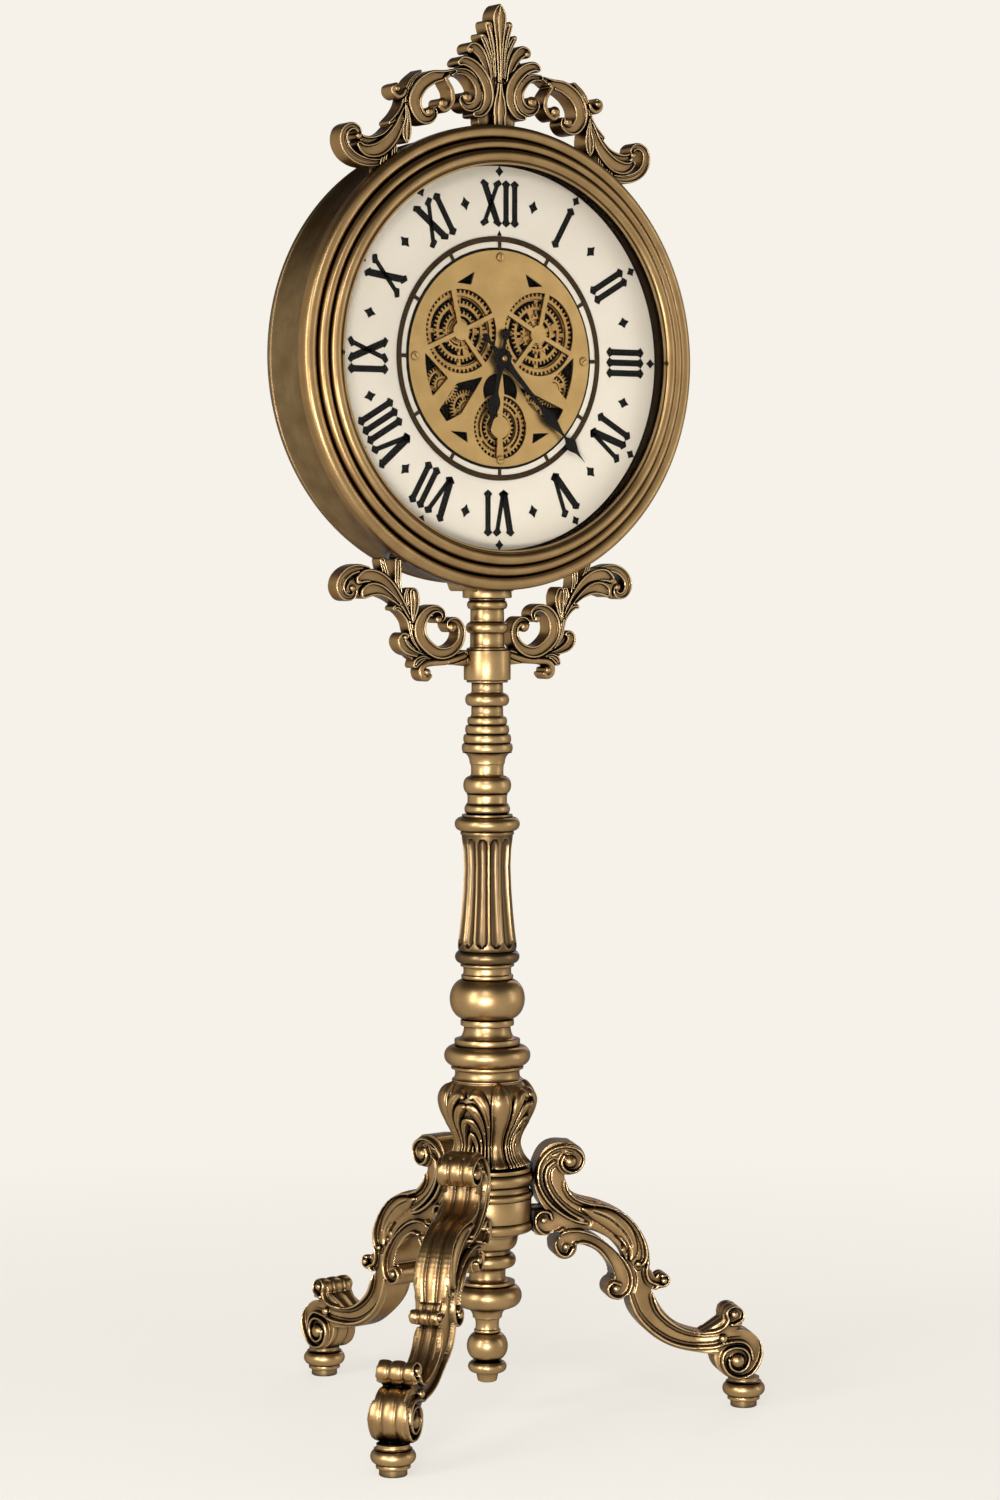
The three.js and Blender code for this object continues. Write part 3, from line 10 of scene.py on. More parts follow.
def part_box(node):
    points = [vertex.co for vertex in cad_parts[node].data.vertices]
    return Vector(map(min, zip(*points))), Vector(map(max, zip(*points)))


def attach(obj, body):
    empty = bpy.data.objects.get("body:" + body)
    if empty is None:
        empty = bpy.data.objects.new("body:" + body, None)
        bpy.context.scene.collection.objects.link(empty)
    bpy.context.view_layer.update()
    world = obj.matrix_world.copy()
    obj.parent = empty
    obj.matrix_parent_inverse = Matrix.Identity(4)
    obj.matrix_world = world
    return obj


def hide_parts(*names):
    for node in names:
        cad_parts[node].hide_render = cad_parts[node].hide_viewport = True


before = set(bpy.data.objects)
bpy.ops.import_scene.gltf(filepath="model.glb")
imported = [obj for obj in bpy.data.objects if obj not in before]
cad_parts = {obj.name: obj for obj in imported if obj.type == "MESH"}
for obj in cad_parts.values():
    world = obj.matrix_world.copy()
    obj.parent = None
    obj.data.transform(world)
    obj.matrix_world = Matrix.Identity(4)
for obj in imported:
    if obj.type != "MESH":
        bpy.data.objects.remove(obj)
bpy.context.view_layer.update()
scene = bpy.context.scene

MM = 0.001


def middle(node):
    low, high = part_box(node)
    return (low + high) / 2


# Column axis on the floor, and the dial's centre on the column's plane
AXIS = Vector((middle("tie_rod").x, middle("tie_rod").y, 0))
DIAL = Vector((AXIS.x, AXIS.y, middle("dial").z))


def add_object(name, data):
    """A new object in the scene."""
    piece = bpy.data.objects.new(name, data)
    scene.collection.objects.link(piece)
    return piece


def around(azimuth, distance, height):
    """A place about the column: degrees from the front, then metres."""
    turn = math.radians(azimuth)
    return AXIS + Vector((math.sin(turn) * distance, -math.cos(turn) * distance, height))


# ---------- Camera ----------
CAMERA_AZIMUTH, CAMERA_DISTANCE, CAMERA_HEIGHT = -33.5, 4.2, 0.94
CAMERA_DIP, CAMERA_ASIDE, CAMERA_LENS = 2.82, 0.19, 92.6


def make_camera():
    camera = bpy.data.cameras.new("camera")
    camera.lens = CAMERA_LENS
    camera.sensor_width = 36
    camera.clip_end = 60
    scene.camera = add_object("camera", camera)
    scene.camera.location = around(CAMERA_AZIMUTH, CAMERA_DISTANCE, CAMERA_HEIGHT)
    scene.camera.rotation_euler = [math.radians(a) for a in (90 - CAMERA_DIP, 0, CAMERA_AZIMUTH - CAMERA_ASIDE)]


make_camera()
scene.view_settings.view_transform = "Standard"


# ---------- Node helpers ----------
def feed(node, values):
    """Sets a node's inputs, each to a value or to another node's output."""
    for key, value in values.items():
        if isinstance(value, bpy.types.NodeSocket):
            node.id_data.links.new(value, node.inputs[key])
        else:
            node.inputs[key].default_value = value


def add(tree, kind, values=None, **settings):
    node = tree.nodes.new("ShaderNode" + kind)
    for key, value in settings.items():
        setattr(node, key, value)
    feed(node, values or {})
    return node


def rgb(text):
    parts = [int(text[i:i + 2], 16) / 255 for i in (0, 2, 4)]
    return tuple(c / 12.92 if c <= 0.04045 else ((c + 0.055) / 1.055) ** 2.4 for c in parts) + (1,)


def ramp(tree, value, stops):
    node = add(tree, "ValToRGB", {"Fac": value})
    elements = node.color_ramp.elements
    while len(elements) < len(stops):
        elements.new(0.5)
    for element, (place, colour) in zip(elements, stops):
        element.position = place
        element.color = colour if isinstance(colour, tuple) else (colour, colour, colour, 1)
    return node.outputs["Color"]


def blend(tree, factor, a, b):
    return add(tree, "Mix", {0: factor, 6: a, 7: b}, data_type="RGBA").outputs[2]


def fit(tree, value, low, high, to_low=0.0, to_high=1.0):
    return add(tree, "MapRange", {
        "Value": value, "From Min": low, "From Max": high, "To Min": to_low, "To Max": to_high,
    }).outputs["Result"]


def new_look(name):
    """A material with its node tree, its shader and its object coordinates."""
    look = bpy.data.materials.new(name)
    look.use_nodes = True
    tree = look.node_tree
    return look, tree, tree.nodes["Principled BSDF"], add(tree, "TexCoord").outputs["Object"]


def emboss(tree, shader, height, strength, distance):
    relief = add(tree, "Bump", {"Height": height, "Strength": strength, "Distance": distance})
    feed(shader, {"Normal": relief.outputs["Normal"]})


def show(tree, shader):
    """Sends another shader than the first one to the material's output."""
    feed(next(node for node in tree.nodes if node.type == "OUTPUT_MATERIAL"), {"Surface": shader.outputs[0]})


def noise(tree, where, scale, detail, stretch=None):
    if stretch:
        where = add(tree, "Mapping", {"Vector": where, "Scale": stretch}).outputs["Vector"]
    return add(tree, "TexNoise", {"Vector": where, "Scale": scale, "Detail": detail}).outputs["Fac"]


def metal(name, dark, base, bright, rough=(0.31, 0.37), recess=0.009, stretch=None, bump=0.0, edges=0.0, specks=0.08,
          lacquer=0.3, wear_and_highlight=None):
    """Aged metal with dark specks; its colour darkens in recesses and where parts close in, as patina and painted
    shade, and, where asked, lightens along edges and crests, as wear and a painted highlight.
    """
    look, tree, shader, where = new_look(name)
    tone = ramp(tree, noise(tree, where, 38, 5), [(0.34, rgb(base)), (0.66, rgb(bright))])
    tone = blend(tree, fit(tree, noise(tree, where, 420, 3), 0.55, 0.75, 0, specks), tone, rgb(dark))
    if recess:
        # Patina and painted shade: the colour goes towards the dark one where ambient occlusion finds the surface
        # closed in by recesses or nearby parts.
        open_air = add(tree, "AmbientOcclusion", {"Distance": recess}, samples=16).outputs["AO"]
        tone = blend(tree, fit(tree, open_air, 0.45, 0.96), rgb(dark), tone)
    if edges:
        # Wear and painted highlight: the colour goes towards the light one on sharp edges and crests, found by
        # pointiness.
        edge_wear_and_highlight = fit(tree, add(tree, "NewGeometry").outputs["Pointiness"], 0.515, 0.57, 0, edges)
        tone = blend(tree, edge_wear_and_highlight, tone, rgb(wear_and_highlight))
    grain = noise(tree, where, 1, 5, stretch) if stretch else noise(tree, where, 30, 2)
    feed(shader, {
        "Base Color": tone, "Metallic": 1, "Specular Tint": rgb("352819"), "Coat Weight": lacquer,
        "Coat Roughness": 0.24, "Roughness": fit(tree, grain, 0.3, 0.7, *rough),
    })
    if bump:
        emboss(tree, shader, grain, bump, 0.0004)
    return look


def painted(name, low, high, rough, scale=80, metallic=0.0, shine=0.5):
    look, tree, shader, where = new_look(name)
    cloud = noise(tree, where, scale, 6)
    feed(shader, {
        "Base Color": ramp(tree, cloud, [(0.32, rgb(low)), (0.68, rgb(high))]), "Metallic": metallic,
        "Roughness": fit(tree, cloud, 0.3, 0.7, *rough), "Specular IOR Level": shine,
    })
    emboss(tree, shader, noise(tree, where, scale * 20, 3), 0.06, 0.0005)
    return look


def glass_look():
    look, tree, shader, where = new_look("clear_glass")
    tree.nodes.remove(shader)
    clear = add(tree, "BsdfTransparent", {"Color": (0.985, 0.985, 0.98, 1)})
    haze = fit(tree, noise(tree, where, 4, 2), 0.3, 0.7, 0.02, 0.05)
    shine = add(tree, "BsdfGlossy", {"Color": (1, 1, 1, 1), "Roughness": haze})
    edge = add(tree, "Fresnel", {"IOR": 1.1})
    show(tree, add(tree, "MixShader", {0: edge.outputs[0], 1: clear.outputs[0], 2: shine.outputs[0]}))
    return look


def dial_look():
    """Cream paint with painted shade that darkens it a little towards the rim, under the bezel."""
    look, tree, shader, where = new_look("cream_dial")
    offset = add(tree, "VectorMath", {0: where, 1: DIAL}, operation="SUBTRACT").outputs["Vector"]
    flat = add(tree, "VectorMath", {0: offset, 1: (1, 0, 1)}, operation="MULTIPLY").outputs["Vector"]
    reach = add(tree, "VectorMath", {0: flat}, operation="LENGTH").outputs["Value"]
    tone = ramp(tree, noise(tree, where, 9, 6), [(0.35, rgb("E5DCCD")), (0.65, rgb("EBE3D6"))])
    # Painted shade: darker towards the rim, from 165 mm out to the dial's edge under the bezel.
    tone = blend(tree, fit(tree, reach, 0.165, 0.21, 0, 0.5), tone, rgb("CFC3AE"))
    tone = blend(tree, fit(tree, noise(tree, where, 260, 4), 0.62, 0.78, 0, 0.2), tone, rgb("BFAF96"))
    feed(shader, {"Base Color": tone, "Roughness": 0.62})
    emboss(tree, shader, noise(tree, where, 900, 2), 0.04, 0.0004)
    return look


BRASS = metal("antique_brass", "170F08", "967A52", "A5885E", (0.33, 0.37), 0.008, specks=0.04)
BEZEL_BRASS = metal("antique_brass_bezel", "1D130A", "8F724A", "9D8056", (0.33, 0.36), 0.0035, specks=0.03)
CARVED = metal("antique_brass_carved", "0E0804", "8C6F49", "9A7D55", recess=0.008, edges=0.9, wear_and_highlight="E4C89C")
FLUTED = metal("antique_brass_fluted", "0E0804", "59462C", "634E32", recess=0.014, edges=0.7, wear_and_highlight="B09163")
DRUM_BRASS = metal("antique_brass_brushed", "2B1F12", "6E5839", "806A49", (0.3, 0.48), stretch=(6, 700, 6), bump=0.12)
PLATE_BRASS = metal("brushed_brass", "4A3518", "B3925C", "C1A069", (0.34, 0.5), 0.0025, (30, 30, 900), 0.1)
GEAR_BRASS = metal("brushed_brass_gears", "140C05", "A27D49", "BC975C", (0.34, 0.44), 0.0015)
BRONZE = metal("dark_bronze", "18120C", "382C20", "463829", (0.36, 0.5), lacquer=0.0)
STEEL = metal("plain_steel", "4A4A48", "8E8E8C", "A5A5A2", (0.25, 0.4), lacquer=0.0)
HAND_BLACK = painted("black_hands", "080706", "0D0C0A", (0.55, 0.66), shine=0.12)
# Black print for the numerals and marks, also used for the painted shadow ring round the plate.
PRINT_AND_SHADOW = painted("black_print_and_shadow", "0B0A09", "12100E", (0.7, 0.85), shine=0.15)
BLACK = painted("black_paint", "12100E", "1C1916", (0.42, 0.58))
TRAY = painted("black_tray", "0B0805", "130E09", (0.6, 0.75), shine=0.1)
PLASTIC = painted("black_plastic", "17171A", "222225", (0.45, 0.6), 120)
JACKET = painted("battery_jacket", "33393F", "454C53", (0.25, 0.4), 60, 0.3)
GLASS = glass_look()
CREAM = dial_look()


# ---------- Mesh helpers ----------
def dress(mesh, look, sharp=None):
    mesh.materials.clear()
    mesh.materials.append(look)
    mesh.shade_smooth()
    if sharp:
        mesh.set_sharp_from_angle(angle=math.radians(sharp))


def make(name, pieces, look, origin=AXIS, sharp=38):
    """One object from (points in mm from the origin, faces) pieces."""
    points, faces = [], []
    for piece_points, piece_faces in pieces:
        start = len(points)
        points += [origin + Vector(p) * MM for p in piece_points]
        faces += [tuple(start + i for i in face) for face in piece_faces]
    mesh = bpy.data.meshes.new(name)
    mesh.from_pydata(points, [], faces)
    work = bmesh.new()
    work.from_mesh(mesh)
    bmesh.ops.remove_doubles(work, verts=work.verts, dist=1e-6)
    bmesh.ops.recalc_face_normals(work, faces=work.faces)
    work.to_mesh(mesh)
    work.free()
    dress(mesh, look, sharp)
    return add_object(name, mesh)


def settle(piece, slot, *nodes, body="stand"):
    """Gives a piece its body and hides the CAD nodes that it stands for; the slot is not used."""
    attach(piece, body)
    if nodes:
        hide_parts(*nodes)


def copied(piece, name, change):
    """A second piece with the first one's mesh, changed about the column's axis."""
    mesh = piece.data.copy()
    mesh.transform(Matrix.Translation(AXIS) @ change @ Matrix.Translation(-AXIS))
    return add_object(name, mesh)


def evaluated(piece):
    """The mesh of an object with its curve or modifiers worked out."""
    return bpy.data.meshes.new_from_object(piece.evaluated_get(bpy.context.evaluated_depsgraph_get()))


def tube_faces(bands, sides):
    """Quads of so many bands between rows of points that go once round."""
    return [(i * sides + k, i * sides + (k + 1) % sides, (i + 1) * sides + (k + 1) % sides, (i + 1) * sides + k)
            for i in range(bands) for k in range(sides)]


def turned(profile, sides=96, upright=True, closed=True, shift=(0, 0)):
    """Turns [(radius, height)] about the column's axis, or about one that is parallel to the dial's."""
    points, rings = [], []
    for radius, height in profile:
        start = len(points)
        count = sides if radius > 1e-6 else 1
        for k in range(count):
            angle = 2 * math.pi * k / sides
            x, other = radius * math.cos(angle), radius * math.sin(angle)
            points.append((x, other, height) if upright else (x + shift[0], height, other + shift[1]))
        rings.append([start + (k if count > 1 else 0) for k in range(sides)])
    faces = []
    for low, high in zip(rings, rings[1:] + (rings[:1] if closed else [])):
        for k in range(sides):
            j = (k + 1) % sides
            corners = [low[k], low[j], high[j], high[k]]
            face = [c for i, c in enumerate(corners) if c != corners[i - 1]]
            if len(face) > 2:
                faces.append(tuple(face))
    return points, faces


def bead(radius, bulge, low, high, steps=12):
    return [(
        radius - bulge + bulge * math.sin(math.pi * i / steps),
        (low + high) / 2 - (high - low) / 2 * math.cos(math.pi * i / steps),
    ) for i in range(steps + 1)]


def wall(radius, low, high, edge):
    """A straight wall with eased edges."""
    return [(radius - edge, low), (radius - edge * 0.3, low + edge * 0.3), (radius, low + edge),
            (radius, high - edge), (radius - edge * 0.3, high - edge * 0.3), (radius - edge, high)]


def cove(r0, low, r1, high, steps=8, swelling=False):
    """A curve from one radius to the other, hollow or swelling."""
    points = []
    for i in range(steps + 1):
        t = math.pi / 2 * i / steps
        if (r0 > r1) != swelling:
            points.append((r0 - (r0 - r1) * math.sin(t), high - (high - low) * math.cos(t)))
        else:
            points.append((r1 - (r1 - r0) * math.cos(t), low + (high - low) * math.sin(t)))
    return points


def smooth_path(path, per):
    """Catmull-Rom curve through points of any size."""
    result = []
    last = len(path) - 1
    for i in range(last):
        p0, p1, p2, p3 = (path[max(0, min(last, i + k))] for k in (-1, 0, 1, 2))
        for k in range(per):
            t = k / per
            result.append(tuple(
                0.5 * (2 * b + (c - a) * t + (2 * a - 5 * b + 4 * c - d) * t * t + (3 * b - a - 3 * c + d) * t ** 3)
                for a, b, c, d in zip(p0, p1, p2, p3)
            ))
    return result + [tuple(path[-1])]


def axes(low, high, step):
    return [np.arange(a, b + step, step, dtype=np.float32) for a, b in zip(low, high)]


def near(path, xs, zs, margin=3.0):
    """Where the grid lies from a line of (x, z, half width): its part of the grid, the gap to the stroke's edge,
    the distance with its side, and the half width."""
    line = np.array(smooth_path(path, 6), dtype=np.float32)
    room = float(line[:, 2].max()) + margin
    cut = tuple(slice(*np.searchsorted(axis, (line[:, k].min() - room, line[:, k].max() + room)))
                for axis, k in ((xs, 0), (zs, 1)))
    gx, gz = np.meshgrid(xs[cut[0]], zs[cut[1]], indexing="ij")
    gap = np.full(gx.shape, 1e3, np.float32)
    side, width = gap.copy(), np.ones_like(gap)
    for (x0, z0, w0), (x1, z1, w1) in zip(line, line[1:]):
        dx, dz = x1 - x0, z1 - z0
        t = np.clip(((gx - x0) * dx + (gz - z0) * dz) / max(dx * dx + dz * dz, 1e-9), 0, 1)
        ex, ez = gx - x0 - t * dx, gz - z0 - t * dz
        away = np.hypot(ex, ez)
        w = w0 + (w1 - w0) * t
        closer = away - w < gap
        gap[closer] = (away - w)[closer]
        side[closer] = np.copysign(away, dx * ez - dz * ex)[closer]
        width[closer] = w[closer]
    return cut, gap, side, width


def skin(field, places):
    """Points and faces of the surface between a grid's negative and positive corners."""
    inside = field < 0
    spans = [n - 1 for n in field.shape]
    corners = [np.array((i, j, k)) for i in (0, 1) for j in (0, 1) for k in (0, 1)]

    def at(corner):
        return inside[tuple(slice(o, o + n) for o, n in zip(corner, spans))]

    some, every = at(corners[0]).copy(), at(corners[0]).copy()
    for corner in corners[1:]:
        some |= at(corner)
        every &= at(corner)
    cells = np.argwhere(some & ~every)
    index = np.full(spans, -1, np.int32)
    index[tuple(cells.T)] = np.arange(len(cells))
    total, count = np.zeros((len(cells), 3)), np.zeros(len(cells))
    for a in corners:
        for axis in range(3):
            if a[axis]:
                continue
            b = a.copy()
            b[axis] = 1
            va, vb = field[tuple((cells + a).T)], field[tuple((cells + b).T)]
            cross = (va < 0) != (vb < 0)
            t = va[cross] / (va[cross] - vb[cross])
            total[cross] += a + t[:, None] * (b - a)
            count[cross] += 1
    points = cells + total / count[:, None]
    for axis, values in enumerate(places):
        points[:, axis] = values[0] + points[:, axis] * (values[1] - values[0])
    faces = []
    for axis in range(3):
        here = [slice(1, -1)] * 3
        there = [slice(1, -1)] * 3
        here[axis], there[axis] = slice(0, -1), slice(1, None)
        solid, empty = inside[tuple(here)], inside[tuple(there)]
        spots = np.argwhere(solid != empty)
        outward = solid[tuple(spots.T)]
        spots[:, [k for k in range(3) if k != axis]] += 1
        u, v = np.eye(3, dtype=int)[(axis + 1) % 3], np.eye(3, dtype=int)[(axis + 2) % 3]
        quads = np.stack([index[tuple((spots - o).T)] for o in (u + v, v, 0 * u, u)], axis=1)
        quads[~outward] = quads[~outward][:, ::-1]
        faces.append(quads)
    return points, np.concatenate(faces)


def skinned(name, field, places, origin):
    """The casting that a grid describes, a little smoothed."""
    points, faces = skin(field, places)
    mesh = bpy.data.meshes.new(name)
    mesh.from_pydata((points * MM + np.array(origin)).tolist(), [], faces.tolist())
    mesh.validate()
    piece = add_object(name, mesh)
    soft = piece.modifiers.new("soft", "SMOOTH")
    soft.factor = 0.5
    soft.iterations = 2
    mesh = evaluated(piece)
    piece.modifiers.clear()
    piece.data = mesh
    dress(mesh, CARVED)
    return piece


def dome(place):
    """A half round between -1 and 1."""
    return np.sqrt(np.clip(1 - place ** 2, 0, 1))


# Fronts of the carving: each gives how far a stroke stands proud of its base, from the distance to its middle line
# (with a sign for the side) and its half width
def rimmed(rim, lift, trough, rib, middle_at=0.0, reach=0.5):
    """Two thin rims with a hollow between them, and a convex rib along it."""
    def front(side, width):
        edge = np.minimum(rim, width * 0.3)
        across = side / np.maximum(width - edge, 0.1)
        hollow = -trough * np.sqrt(1 - np.clip(np.abs(across), 0, 1) ** 2)
        return np.maximum(lift * dome((np.abs(side) - (width - edge)) / edge),
                          hollow + rib * dome((across - middle_at) / reach))
    return front


def rounded(rise, base=0.0):
    return lambda side, width: base + rise * dome(side / width)


# Half width of the groove round a stroke, and how far the groove lies below the stroke's level
MOAT, MOAT_DEPTH = 1.1, 3.2


def cast_relief(name, strokes, balls, front, back, low, high, origin, step, both=False):
    """Casts strokes of (path, front form, level) and balls (x, z, radius) into one piece, from front to back.
    With both, the grid starts at x = 0 and its mirror image is joined to it."""
    xs, ys, zs = axes((low[0], front - 8, low[1]), (high[0], back + 2 * step, high[1]), step)
    field = np.full((len(xs), len(ys), len(zs)), 5.0, np.float32)
    depth = ys[None, :, None]
    for path, form, level in sorted(strokes, key=lambda stroke: stroke[2]):
        cut, gap, side, width = near(path, xs, zs)
        proud = form(side, np.maximum(width, 0.2))
        body = np.maximum(gap[:, None, :], (front - level - proud)[:, None, :] - depth)
        here = (cut[0], slice(None), cut[1])
        moat = np.maximum(gap[:, None, :] - MOAT, depth - (front - level + MOAT_DEPTH))
        field[here] = np.maximum(field[here], -moat)
        field[here] = np.minimum(field[here], np.maximum(body, depth - back))
    for x, z, radius in balls:
        here = tuple(slice(*np.searchsorted(axis, (c - radius - 3, c + radius + 3))) for axis, c in ((xs, x), (zs, z)))
        here = (here[0], slice(None), here[1])
        away = np.hypot(xs[here[0], None, None] - x, zs[None, None, here[2]] - z)
        body = np.hypot(away, depth - front + 1.4) - radius
        post = np.maximum(away - radius * 0.9, np.maximum(front - depth, depth - back))
        field[here] = np.minimum(field[here], np.minimum(body, post))
    if both:
        field = np.concatenate([field[1:][::-1], field], axis=0)
        xs = np.concatenate([-xs[1:][::-1], xs])
    return skinned(name, field, (xs, ys, zs), origin)


def flat_piece(name, outlines, front, back, look, bevel):
    """Sheet cut from outlines in the dial's plane, holes included, with eased edges."""
    curve = bpy.data.curves.new(name, "CURVE")
    curve.dimensions = "2D"
    curve.fill_mode = "BOTH"
    curve.extrude = ((back - front) / 2 - bevel) * MM
    curve.bevel_depth = bevel * MM
    curve.bevel_resolution = 1
    curve.offset = -bevel * MM
    for outline in outlines:
        line = curve.splines.new("POLY")
        line.points.add(len(outline) - 1)
        for point, (x, z) in zip(line.points, outline):
            point.co = (x * MM, z * MM, 0, 1)
        line.use_cyclic_u = True
    holder = add_object(name, curve)
    mesh = evaluated(holder)
    bpy.data.objects.remove(holder)
    mesh.name = name
    depth = (front + back) / 2 * MM
    mesh.transform(Matrix.Translation(DIAL + Vector((0, depth, 0))) @ Matrix.Rotation(math.pi / 2, 4, "X"))
    dress(mesh, look, 30)
    return add_object(name, mesh)


def on_circle(degrees, radius):
    turn = math.radians(degrees)
    return radius * math.cos(turn), radius * math.sin(turn)


def clockwise(outline, turn):
    c, s = math.cos(turn), math.sin(turn)
    return [(u * c + v * s, -u * s + v * c) for u, v in outline]


def circle(x, z, radius, sides=72):
    return [(x + radius * math.cos(2 * math.pi * k / sides), z + radius * math.sin(2 * math.pi * k / sides))
            for k in range(sides)]


# ---------- Column ----------
BORE, DRUM_CLEAR = 5.5, 241.2


def column_piece(name, profile):
    whole = [(BORE, profile[0][1])] + profile + [(BORE, profile[-1][1])]
    settle(make(name + "_turned", [turned(whole, 112)], BRASS), "antique_brass", name)


column_piece("base_hub", bead(50.6, 5, 206, 218.4) + wall(48.5, 218.4, 242.2, 0.3) + bead(50.6, 3.5, 242.2, 250.4)
             + cove(48, 250.4, 46.2, 253) + cove(46.2, 255, 48.5, 257.8) + bead(51.4, 5.5, 257.8, 272)
             + wall(49, 272.3, 276.6, 0.8))
column_piece("lower_baluster", cove(38.5, 373.7, 35.4, 380) + cove(35.4, 381, 38.6, 384.7)
             + wall(39.7, 384.7, 388, 0.7) + bead(47.3, 11, 388, 410.4, 16) + wall(36, 410.4, 417.6, 1.2)
             + cove(33, 417.6, 25.6, 431) + wall(29.3, 432, 438.6, 0.9) + bead(41.2, 17, 438.9, 483.4, 22)
             + wall(28.5, 483.6, 487.6, 0.7) + cove(27.6, 487.8, 26.2, 491) + cove(26.2, 494, 28, 496.8)
             + wall(29.4, 496.8, 499.9, 0.7))
column_piece("upper_baluster", bead(35.7, 7.4, 645, 660.3, 14) + wall(27.8, 660.4, 663.2, 0.6)
             + bead(25, 3.5, 663.4, 674.3) + cove(23.5, 674.4, 21.6, 677.4) + cove(21.6, 682, 23, 685.2)
             + bead(26.2, 6, 685.4, 704.3, 16) + cove(21, 704.5, 17.7, 708.2) + cove(17.7, 712, 19, 718.4)
             + cove(19.2, 718.6, 27.4, 730.4, 12) + bead(27.9, 1.8, 731, 740.4) + bead(26.2, 1.8, 740.6, 750.4)
             + bead(24.1, 1.8, 750.6, 760.4) + bead(21.8, 1.8, 760.6, 769.3) + cove(19.6, 769.4, 17.4, 773)
             + wall(17.4, 773, 781, 0.2))
column_piece("neck_sleeve", bead(24.1, 5, 781.3, 795) + cove(19, 795.2, 17.2, 798) + wall(17.2, 798, 806.6, 0.2)
             + wall(22.6, 806.8, 809.4, 0.8) + wall(25.6, 809.4, 842, 1.2) + wall(22.6, 842, 844.4, 0.8)
             + cove(20.4, 844.6, 18.7, 847.4) + wall(18.7, 847.4, 860, 0.2) + bead(23.4, 4.6, 860.4, 872.4)
             + cove(20, 872.6, 18.4, 875) + wall(18.4, 875, 886.2, 0.2) + bead(22.1, 3.8, 886.5, 896.4)
             + wall(20, 896.5, 898.3, 0.3))

pendant = (
    [(0, 39.2), (8.6, 39.2)] + [(10.4, 40.2), (10.9, 42)] + [(12.4, 48.6), (12.8, 49.4)]
    + bead(21.3, 6.5, 49.5, 62.2, 12) + bead(22.6, 12, 63, 94, 20) + wall(14.6, 94.2, 97, 0.8)
    + cove(14, 97.2, 12.8, 101) + cove(12.8, 103, 15.6, 110) + cove(16, 110.2, 26.6, 121.3, 10)
    + bead(37.9, 12.7, 121.6, 147.4, 20) + wall(30.4, 147.6, 151, 0.7) + cove(24, 151.2, 20, 156)
    + cove(20, 161, 24, 166) + bead(31.4, 6, 166.2, 181.6, 12) + cove(25.6, 181.8, 25.4, 185.6)
    + cove(25.6, 186, 33.8, 201.4, 10, swelling=True) + wall(36, 201.6, 205.7, 0.8) + [(0, 205.7)]
)
settle(make("pendant_turned", [turned(pendant, closed=False)], BRASS), "antique_brass", "pendant_finial")

foot_profile = (
    [(0, 0), (13.6, 0), (14.7, 1), (14.7, 7.2), (14, 8)] + wall(18, 8, 12, 0.7) + bead(23.7, 8.2, 12, 28.2, 16)
    + cove(20, 28.3, 17.4, 31) + [(17.4, 33.2), (0, 33.2)]
)
for place in ("front_right", "front_left", "rear"):
    spot = middle("foot_" + place)
    foot = make("foot_" + place + "_turned", [turned(foot_profile, 80, closed=False)], BRASS,
                origin=Vector((spot.x, spot.y, 0)))
    settle(foot, "antique_brass", "foot_" + place)


def fluted_shaft():
    """Round-ended flutes between thin fillets, on a shaft that narrows at its middle."""
    heights = [514.6, 517, 522, 535, 553, 580, 607, 625, 636, 641]
    radii = [31.4, 32.2, 32, 30.3, 28.5, 26.4, 25.4, 26.2, 27.6, 28.2]
    low, high = heights[0], heights[-1]
    rows, flutes, across, flute_width, flute_depth = 72, 12, 16, 0.8, 4.4
    points = []
    for i in range(rows + 1):
        z = low + (high - low) * i / rows
        radius = np.interp(z, heights, radii)
        near_end = min((z - low - 4.5) / 7, (high - 4 - z) / 7)
        half = flute_width * (math.sqrt(max(0, 1 - max(0, 1 - near_end) ** 2)) if near_end > 0 else 0)
        for k in range(flutes * across):
            u = ((k / across) % 1 - 0.5) * 2
            hollow = flute_depth * math.sqrt(max(0, 1 - (u / half) ** 2)) if half > 0.02 and abs(u) < half else 0
            angle = 2 * math.pi * k / (flutes * across)
            points.append(((radius - hollow) * math.cos(angle), (radius - hollow) * math.sin(angle), z))
    base = turned([(BORE, 500.2)] + bead(35.4, 7, 500.2, low, 14) + [(BORE, low)], 112)
    top = turned([(BORE, high)] + wall(29.3, high, 644.7, 0.8) + [(BORE, 644.7)], 112)
    shaft = (points, tube_faces(rows, flutes * across))
    settle(make("fluted_shaft_cast", [shaft, base, top], FLUTED, sharp=50), "antique_brass", "fluted_shaft")


fluted_shaft()


# One eighth of the vase's carving, from a petal's middle at x = 0 to the hollow between two leaves at x = 36;
# x counts 0.8 mm to the degree, z from the vase's foot, and each line is (path of x, z and half width), form, level
def petal(side, width):
    """A full round back between two thin rims."""
    across = np.abs(side) / width
    return np.maximum(4.2 * dome(across / 0.84), 1.5 * dome((across - 0.91) / 0.09))


